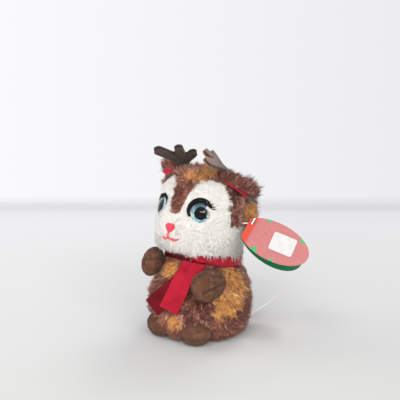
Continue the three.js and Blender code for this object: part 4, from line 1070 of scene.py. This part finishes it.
for side in SIDES:
    coat_node(f"eye_disc_{side}", GLITTER)
    axes = eye_axes(side)
    aside = axes[0] + PUPIL_SHIFT[0] * SIDES[side] * axes[1] + PUPIL_SHIFT[1] * axes[2]
    pupil = lathe((aside, *axes[1:]), [(radius, DISC_TOP + height) for radius, height in PUPIL_OUTLINE])
    faces_piece(f"pupil_{side}", *pupil, EYE_BLACK.material, "head", "glitter_disc")
    dome = lathe(axes, dome_outline)
    faces_piece(f"eye_dome_{side}", *dome, CLEAR.material, "head", "clear_plastic", f"eye_lens_{side}")


# Eyelids: black thread strokes over each eye, and lashes at the outer corner
THREAD_BLACK = fabric(
    "black_thread", [(0.35, "#060505"), (0.65, "#131010")], 2, 0.25, roughness=0.7, sheen=0.0, relief=0.3
)
THREAD_RED = fabric("red_stitch", [(0.35, "#c62a40"), (0.65, "#e04556")], 2, 0.25, roughness=0.5, relief=0.4)
LID_SPAN = {"left": (24, 204, 1.0), "right": (36, 168, 0.6)}
LID_ROWS = 8


class Threads:
    """Round threads along paths, gathered into one piece."""

    def __init__(self):
        self.points, self.faces = [], []

    def add(self, path, radii, sides, facing):
        base = len(self.points)
        path = np.asarray(path, float)
        run = unit(np.gradient(path, axis=0))
        across = unit(np.cross(run, np.asarray(facing, float) + 1e-6))
        over = np.cross(across, run)
        angles = 2 * math.pi * np.arange(sides) / sides
        rings = np.stack([across * math.cos(angle) + over * math.sin(angle) for angle in angles], 1)
        self.points += (path[:, None] + rings * np.asarray(radii)[:, None, None]).reshape(-1, 3).tolist()
        for start in range(base, base + (len(path) - 1) * sides, sides):
            for k in range(sides):
                a, b = start + k, start + (k + 1) % sides
                self.faces.append((a, a + sides, b + sides, b))
        last = base + (len(path) - 1) * sides
        self.faces += [tuple(range(base, base + sides)), tuple(range(last, last + sides))[::-1]]

    def piece(self, name, material, slot, node):
        return faces_piece(name, self.points, self.faces, material, "head", slot, node)


def on_head(point, lift):
    """The head's surface under a point, lifted along its normal."""
    place, normal, _, _ = head_tree.find_nearest(Vector(point))
    return np.array(place) + np.array(normal) * lift


def eyelid(side):
    rng = np.random.default_rng(61)
    origin, x, y, z = eye_axes(side)
    threads = Threads()
    first, last, weight = LID_SPAN[side]
    for row in np.arange(LID_ROWS) / (LID_ROWS - 1):
        path, radii = [], []
        for share in np.linspace(0, 1, 44):
            turn = math.radians(first + (last - first) * share)
            full = math.sin(math.pi * (0.06 + 0.88 * share)) ** 0.6
            radius = 7.3 + 1.2 * (1 - share) ** 4 + 3.1 * weight * full * row + 0.06 * rng.normal()
            bulge = 0.7 * math.sin(math.pi * (0.15 + 0.7 * row))
            path.append(on_head(origin + (x * math.cos(turn) + y * math.sin(turn)) * radius, 1.5 + bulge))
            radii.append(0.18 + 0.28 * weight * full)
        threads.add(path, radii, 5, z)
    for spread, reach, base in ((30, 2.6, 9.2), (42, 2.6, 9.3), (54, 2.0, 9.3), (20, 2.4, 9.2)):
        path = []
        for step in np.linspace(0, 1, 5):
            turn = math.radians(spread) - 0.1 * step
            spot = origin + (x * math.cos(turn) + y * math.sin(turn)) * (base + reach * step)
            path.append(on_head(spot, 2.2 + 1.0 * step))
        threads.add(path, [0.42, 0.42, 0.36, 0.26, 0.1], 5, z)
    threads.piece(f"eyelid_stitch_{side}", THREAD_BLACK, "black_felt", f"eyelid_{side}")


for side in SIDES:
    eyelid(side)


# Nose and mouth, in satin stitch
NOSE_TIP = NOSE_MIDDLE - 2.7
MOUTH_FORK = NOSE_TIP - 3.5
MOUTH_WIDTHS = (-5.0, 7.4)
FRONT_FACING = (0, -1, 0.2)


def on_front(x, z, lift):
    place, normal, _, _ = head_tree.ray_cast(Vector((x, -120.0, z)), Vector((0, 1, 0)))
    return np.array(place) + np.array(normal) * lift


def nose():
    threads = Threads()
    for x in np.arange(-3.78, 3.79, 0.36):
        across = abs(x) / 3.95
        top = NOSE_MIDDLE + 3.3 * (1 - 0.6 * across**3) - 0.4 * math.exp(-(x**2) / 1.2)
        bottom = NOSE_MIDDLE - 2.8 + 3.6 * across**2.3
        if top - bottom < 0.8:
            continue
        path = []
        for share in np.linspace(0, 1, 9):
            arch = math.sin(math.pi * (0.06 + 0.88 * share))
            dome = 1.15 * math.sqrt(max(0.0, 1 - (0.8 * across) ** 2)) * arch
            path.append(on_front(x, top + (bottom - top) * share, 0.75 + dome))
        threads.add(path, [0.3] * len(path), 6, FRONT_FACING)
    threads.piece("nose_stitch", THREAD_RED, "red_thread", "nose")


def stitched(threads, line, lift, radius):
    """Short overlapping stitches along a line on the front of the head."""
    line = np.asarray(line, float)
    length = np.concatenate([[0], np.cumsum(np.linalg.norm(np.diff(line, axis=0), axis=1))])
    count = max(int(round(length[-1] / 1.5)), 1)
    for i in range(count):
        low_at, high_at = max(i / count - 0.06, 0), min((i + 1) / count + 0.06, 1)
        path, radii = [], []
        for share in np.linspace(low_at, high_at, 7):
            x, z = (np.interp(share * length[-1], length, line[:, k]) for k in range(2))
            bow = math.sin(math.pi * (share - low_at) / (high_at - low_at))
            path.append(on_front(x, z, lift + 0.25 * bow))
            radii.append(radius * (0.62 + 0.38 * bow))
        threads.add(path, radii, 6, FRONT_FACING)


def mouth():
    threads = Threads()
    stitched(threads, [(0, NOSE_TIP), (0, MOUTH_FORK)], 1.9, 0.7)
    for width in MOUTH_WIDTHS:
        curve = []
        for t in np.linspace(0, 1, 9):
            curve.append((width * t, MOUTH_FORK - 2.4 * math.sin(0.62 * math.pi * t) + 1.7 * t * t))
        stitched(threads, curve, 1.9, 0.75)
    threads.piece("mouth_stitch", THREAD_RED, "red_thread", "mouth")


nose()
mouth()


# Ribbon
BAND_RADIUS = 29.2
CLOTH_THICKNESS = 0.3


def cloth_sheet(name, rows, material, body, slot, node):
    """A closed thin piece from rows of points: the rows' own surface, thickened both ways."""
    grid = np.asarray(rows, float)
    down, across = grid.shape[:2]
    normal = unit(np.cross(np.gradient(grid, axis=0), np.gradient(grid, axis=1)))
    points = np.concatenate([grid + normal * CLOTH_THICKNESS / 2, grid - normal * CLOTH_THICKNESS / 2])
    faces = []
    for i in range(down - 1):
        for j in range(across - 1):
            a, b = i * across + j, (i + 1) * across + j
            faces.append((a, b, b + 1, a + 1))
    return faces_piece(name, points.reshape(-1, 3), closed(faces, down * across), material, body, slot, node)


def band():
    """The ribbon folded lengthwise round the neck, its fold upwards."""
    rows = []
    columns = 160
    for c in range(columns + 1):
        angle = 2 * math.pi * (c % columns) / columns
        outward = NECK_LEFT * math.sin(angle) + NECK_FRONT * math.cos(angle)
        row = []
        wave = 0.35 * math.sin(3 * angle + 0.6) + 0.22 * math.sin(7 * angle + 2)
        for share in np.linspace(0, 1, 15):
            if share < 0.45:
                height = -3.4 + 7.2 * share / 0.45
                radius = BAND_RADIUS - 0.35
            elif share < 0.55:
                turn = (share - 0.45) / 0.1 * math.pi
                height = 3.8 + 0.3 * math.sin(turn)
                radius = BAND_RADIUS - 0.35 * math.cos(turn)
            else:
                height = 3.8 - 7.8 * (share - 0.55) / 0.45
                bulge = 0.35 * math.sin(math.pi * (share - 0.55) / 0.45)
                crease = 0.3 * math.sin(9 * angle + 5 * share) * math.sin(2 * angle + 1)
                radius = BAND_RADIUS + 0.35 + bulge + 0.5 * crease
            row.append(NECK_ORIGIN + NECK_AXIS * (height + 0.5 * wave) + outward * radius)
        rows.append(row)
    piece = cloth_sheet("scarf_ribbon", rows, BAND_SATIN, "body", "satin", "scarf_band")


band()

# Stations down each ribbon end: middle, direction across, direction it faces, half width
FRONT_RIBBON = [
    ((15.60, -31.90, 64.40), (-0.8500, -0.4800, 0.2000), (0.3914, -0.8544, 0.3418), 8.4),
    ((14.00, -33.80, 60.00), (-0.8300, -0.3300, 0.4400), (0.3946, -0.8571, 0.3313), 8.0),
    ((10.70, -36.51, 54.06), (-0.8230, -0.1523, 0.5472), (0.3891, -0.8530, 0.3478), 7.5),
    ((9.06, -38.93, 50.17), (-0.8985, -0.2109, 0.3851), (0.3671, -0.8420, 0.3953), 7.5),
    ((8.24, -41.26, 46.13), (-0.9297, -0.2441, 0.2759), (0.3445, -0.8411, 0.4170), 7.5),
    ((7.59, -43.49, 41.98), (-0.9247, -0.2380, 0.2971), (0.3428, -0.8599, 0.3783), 7.5),
    ((6.58, -45.53, 37.78), (-0.9111, -0.2231, 0.3467), (0.3367, -0.8879, 0.3135), 7.5),
    ((5.38, -47.40, 33.52), (-0.9083, -0.2204, 0.3554), (0.3310, -0.8983, 0.2889), 7.5),
    ((4.17, -49.24, 29.24), (-0.9101, -0.2221, 0.3499), (0.3347, -0.8918, 0.3045), 7.5),
]
BACK_RIBBON = [
    ((12.85, -30.26, 56.91), (-0.7678, -0.1170, 0.6299), (0.4020, -0.8536, 0.3314), 6.6),
    ((10.65, -32.57, 53.72), (-0.7780, -0.1232, 0.6161), (0.4042, -0.8489, 0.3407), 7.05),
    ((8.42, -34.89, 50.51), (-0.7621, -0.1136, 0.6374), (0.4006, -0.8562, 0.3264), 7.5),
    ((5.72, -37.41, 47.08), (-0.7253, -0.0922, 0.6823), (0.4122, -0.8519, 0.3230), 7.5),
    ((2.34, -40.52, 43.26), (-0.7015, -0.0790, 0.7083), (0.4085, -0.8589, 0.3088), 7.5),
    ((-1.38, -43.24, 39.32), (-0.6968, -0.0765, 0.7131), (0.3109, -0.9282, 0.2043), 7.5),
    ((-5.57, -44.68, 35.07), (-0.6930, -0.0743, 0.7171), (0.1350, -0.9905, 0.0278), 7.5),
    ((-10.23, -45.02, 30.57), (-0.6889, -0.0721, 0.7213), (0.0621, -0.9972, -0.0404), 7.5),
    ((-14.92, -45.24, 26.05), (-0.6915, -0.0735, 0.7187), (0.1082, -0.9941, 0.0023), 7.5),
]


def ribbon_end(which, stations, ripple, material):
    values = np.array([(*centre, *unit(np.array(side)), *unit(np.array(facing)), half)
                       for centre, side, facing, half in stations])
    knots = np.linspace(0, 1, len(stations))
    rows = []
    for share in np.linspace(0, 1, 49):
        at = np.array([np.interp(share, knots, column) for column in values.T])
        centre, side, facing, half = at[:3], unit(at[3:6]), unit(at[6:9]), at[9]
        row = []
        for offset in np.linspace(-1, 1, 17):
            cup = -0.8 * (1 - 0.5 * share) * (1 - offset * offset)
            fold = 0.7 * math.exp(-5 * share) * math.cos(3.2 * math.pi * offset + 0.6)
            fold -= 0.7 * math.exp(-(((share - 0.2 - 0.08 * offset) / 0.035) ** 2))
            wave = ripple * math.sin(2 * math.pi * (1.1 * share + 0.2 * offset)) * share
            row.append(centre + side * offset * half + facing * (cup + fold + wave))
        rows.append(row)
    name, body, node = (f"{part}_{which}" for part in ("scarf_end", "ribbon", "scarf_tail"))
    piece = cloth_sheet(name, rows, material, body, "satin", node)


def knot():
    points, triangles, _ = wrapped(["scarf_knot"], centre_of("scarf_knot"), 5, 2)
    away = points - points.mean(0)
    span = away @ unit(np.cross(NECK_AXIS, (0.5150, -0.8280, 0.2219)))
    folds = 0.35 * np.sin(2.2 * (away @ NECK_AXIS) + 0.25 * span) * smoothstep(np.abs(span), 0, 5)
    points = points + point_normals(points, triangles) * folds[:, None]
    faces_piece("scarf_knot_fold", points, triangles, RED_SATIN, "body", "satin", "scarf_knot")


knot()
ribbon_end("front", FRONT_RIBBON, 0.35, RED_SATIN)
# The back end wears the darker satin: painted shade.
ribbon_end("back", BACK_RIBBON, 0.3, SHADED_SATIN)


# Hang tag
TAG_ORIGIN = np.array((43.82, -6.50, 90.42))
TAG_ACROSS = np.array((0.8770, 0.2894, -0.3835))
TAG_UP = np.array((0.0720, 0.7100, 0.7005))
TAG_DOT = "#3f9a63"


def card(name, face, strip=None, dots=()):
    """Plain card: a face colour, a strip by the fold and dots, each given by its place and radius."""
    finish = Finish(name, Roughness=0.45, Specular_IOR_Level=0.4)
    place = finish.place()
    u, v = (finish.along(place, direction, TAG_ORIGIN) for direction in (TAG_ACROSS, TAG_UP))
    colour = finish.ramp(finish.noise(500, place), [(0.35, face[0]), (0.65, face[1])])
    if strip:
        colour = finish.mix(finish.span(u, 4.6 * MM, 6.4 * MM, 1, 0), colour, strip)
    for *centre, radius in dots:
        away = [finish.maths("SUBTRACT", axis, at * MM) for axis, at in zip((u, v), centre)]
        squares = [finish.maths("MULTIPLY", a, a) for a in away]
        far = finish.maths("SQRT", finish.maths("ADD", *squares))
        colour = finish.mix(finish.span(far, radius * MM, (radius + 0.25) * MM, 1, 0), colour, TAG_DOT)
    finish.join("Base Color", colour)
    finish.relief(finish.noise(2500, place), 0.15, 0.05)
    return finish.material


TAG_DOTS = [(13, 14.0, 2.2), (42, 11.0, 2.3), (13, -12.5, 2.2), (28, -14.6, 1.6)]
STICKER_STOPS = [(0.3, "#b9b6b6"), (0.7, "#c6c4c3")]
STICKER = fabric("sticker_paper", STICKER_STOPS, 3, 0.3, roughness=0.5, sheen=0.0, relief=0.1)
PLASTIC_STOPS = [(0.3, "#e8e8e4"), (0.7, "#f4f4f1")]
PLASTIC = fabric("loop_plastic", PLASTIC_STOPS, 3, 0.6, roughness=0.35, sheen=0.0, relief=0.1)
coat_node("tag_front_leaf", card("red_card", ("#a86463", "#b06c6a"), "#b8402c", TAG_DOTS))
coat_node("tag_back_leaf", card("green_card", ("#0f6038", "#167045")))
coat_node("tag_sticker", STICKER)
for node in ("tag_fastener", "eye_washer_left", "eye_washer_right"):
    coat_node(node, PLASTIC)


# Care label
LABEL_CLOTH = satin("label_satin", [(0.3, "#e0bebb"), (0.7, "#ecd2cf")], roughness=0.5)
LABEL_ORIGIN = np.array((26.77, 16.99, 6.80))
LABEL_ALONG = np.array((0.5863, 0.6073, 0.5362))
LABEL_ACROSS = np.array((0.4972, -0.7923, 0.3537))
LABEL_FACING = np.array((0.6396, 0.0593, -0.7664))


def label():
    rows = []
    for along in np.linspace(-2.5, 43, 32):
        row = []
        for across in np.linspace(-12.5, 12.5, 14):
            curl = 0.12 * math.sin(along / 9) * (1 + across / 25) * min(max(along, 0) / 10, 1)
            row.append(LABEL_ORIGIN + LABEL_ALONG * along + LABEL_ACROSS * across + LABEL_FACING * curl)
        rows.append(row)
    piece = cloth_sheet("care_label_cloth", rows, LABEL_CLOTH, "label", "label_satin", "care_label")


label()


# Stage: a pale floor that ends in a soft line, with painted shadow towards the front and to the right and
# painted shade by its far edge, under a pale world that lights evenly and shows painted shade towards the
# right
FLOOR_AND_SHADOW_STOPS = [(0.0, "#bebebd"), (0.35, "#c6c6c6"), (0.8, "#cfcfd1"), (0.88, "#cdcdcf"), (0.91, "#c3c3c5")]


def make_stage():
    finish = Finish("floor", Roughness=0.9, Specular_IOR_Level=0.1)
    place = finish.place()
    reach = finish.along(place, -BACK * np.array((1, 1, 0)) / np.hypot(BACK[0], BACK[1]))
    # Darker towards the front and in a band by the far edge: painted shadow and shade.
    tint = finish.ramp(finish.span(reach, -0.2, 0.4, 0, 1), FLOOR_AND_SHADOW_STOPS)
    # Darker towards the right: painted shadow.
    shade = finish.span(finish.along(place, RIGHT), -0.15, 0.15, 1.0, 0.945)
    scaled = finish.node("ShaderNodeVectorMath", {0: tint, "Scale": shade}, operation="SCALE")
    finish.join("Base Color", scaled.outputs["Vector"])
    fade = finish.span(reach, 0.345, 0.41, 0, 1, interpolation_type="SMOOTHSTEP")
    finish.blend(fade, finish.shader, finish.node("ShaderNodeBsdfTransparent"), "Material Output")
    bpy.ops.mesh.primitive_plane_add(size=6, location=(0, 0, 0))
    floor = bpy.context.object
    floor.name = "floor"
    floor.data.materials.append(finish.material)


def make_world():
    world = bpy.data.worlds.new("world")
    world.use_nodes = True
    bpy.context.scene.world = world
    sky = Nodes(world.node_tree)
    light = sky.tree.nodes["Background"]
    light.inputs["Color"].default_value = (1, 1, 1, 1)
    light.inputs["Strength"].default_value = 0.7
    way = sky.node("ShaderNodeTexCoord").outputs["Generated"]
    # The backdrop as the camera sees it darkens towards the right: painted shade.
    level = sky.span(sky.along(way, RIGHT), -0.2, 0.2, 1.07, 0.94)
    shown = sky.node("ShaderNodeBackground", {"Color": rgb("#f3f3f5"), "Strength": level})
    path = sky.node("ShaderNodeLightPath").outputs
    either = sky.maths("MAXIMUM", path["Is Camera Ray"], path["Is Transmission Ray"])
    sky.blend(either, light, shown, "World Output")


def lamp(name, place, aim, size, power, mirrored=False):
    data = bpy.data.lights.new(name, "AREA")
    data.shape = "RECTANGLE"
    data.size, data.size_y = size
    data.energy = power
    piece = bpy.data.objects.new(name, data)
    piece.location = place
    piece.rotation_mode = "QUATERNION"
    piece.rotation_quaternion = (Vector(place) - Vector(aim)).to_track_quat("Z", "Y")
    piece.visible_glossy = mirrored
    bpy.context.collection.objects.link(piece)


make_stage()
make_world()
lamp("key", (0.15, -0.75, 0.95), (0, 0, 0.07), (0.5, 0.3), 3.4)
lamp("front", (0.5, -1.15, 0.2), (0, 0, 0.07), (0.9, 0.35), 10.0)
lamp("fill", (-0.9, -0.3, 0.7), (0, 0, 0.07), (0.7, 0.6), 3.0)
lamp("window", (0.74, -0.41, 0.68), (0.018, -0.028, 0.102), (0.6, 0.2), 3.5, mirrored=True)
lamp("rim", (-0.1, 0.8, 1.0), (0, 0, 0.07), (0.5, 0.4), 5.0)

bpy.context.scene.view_settings.view_transform = "Standard"
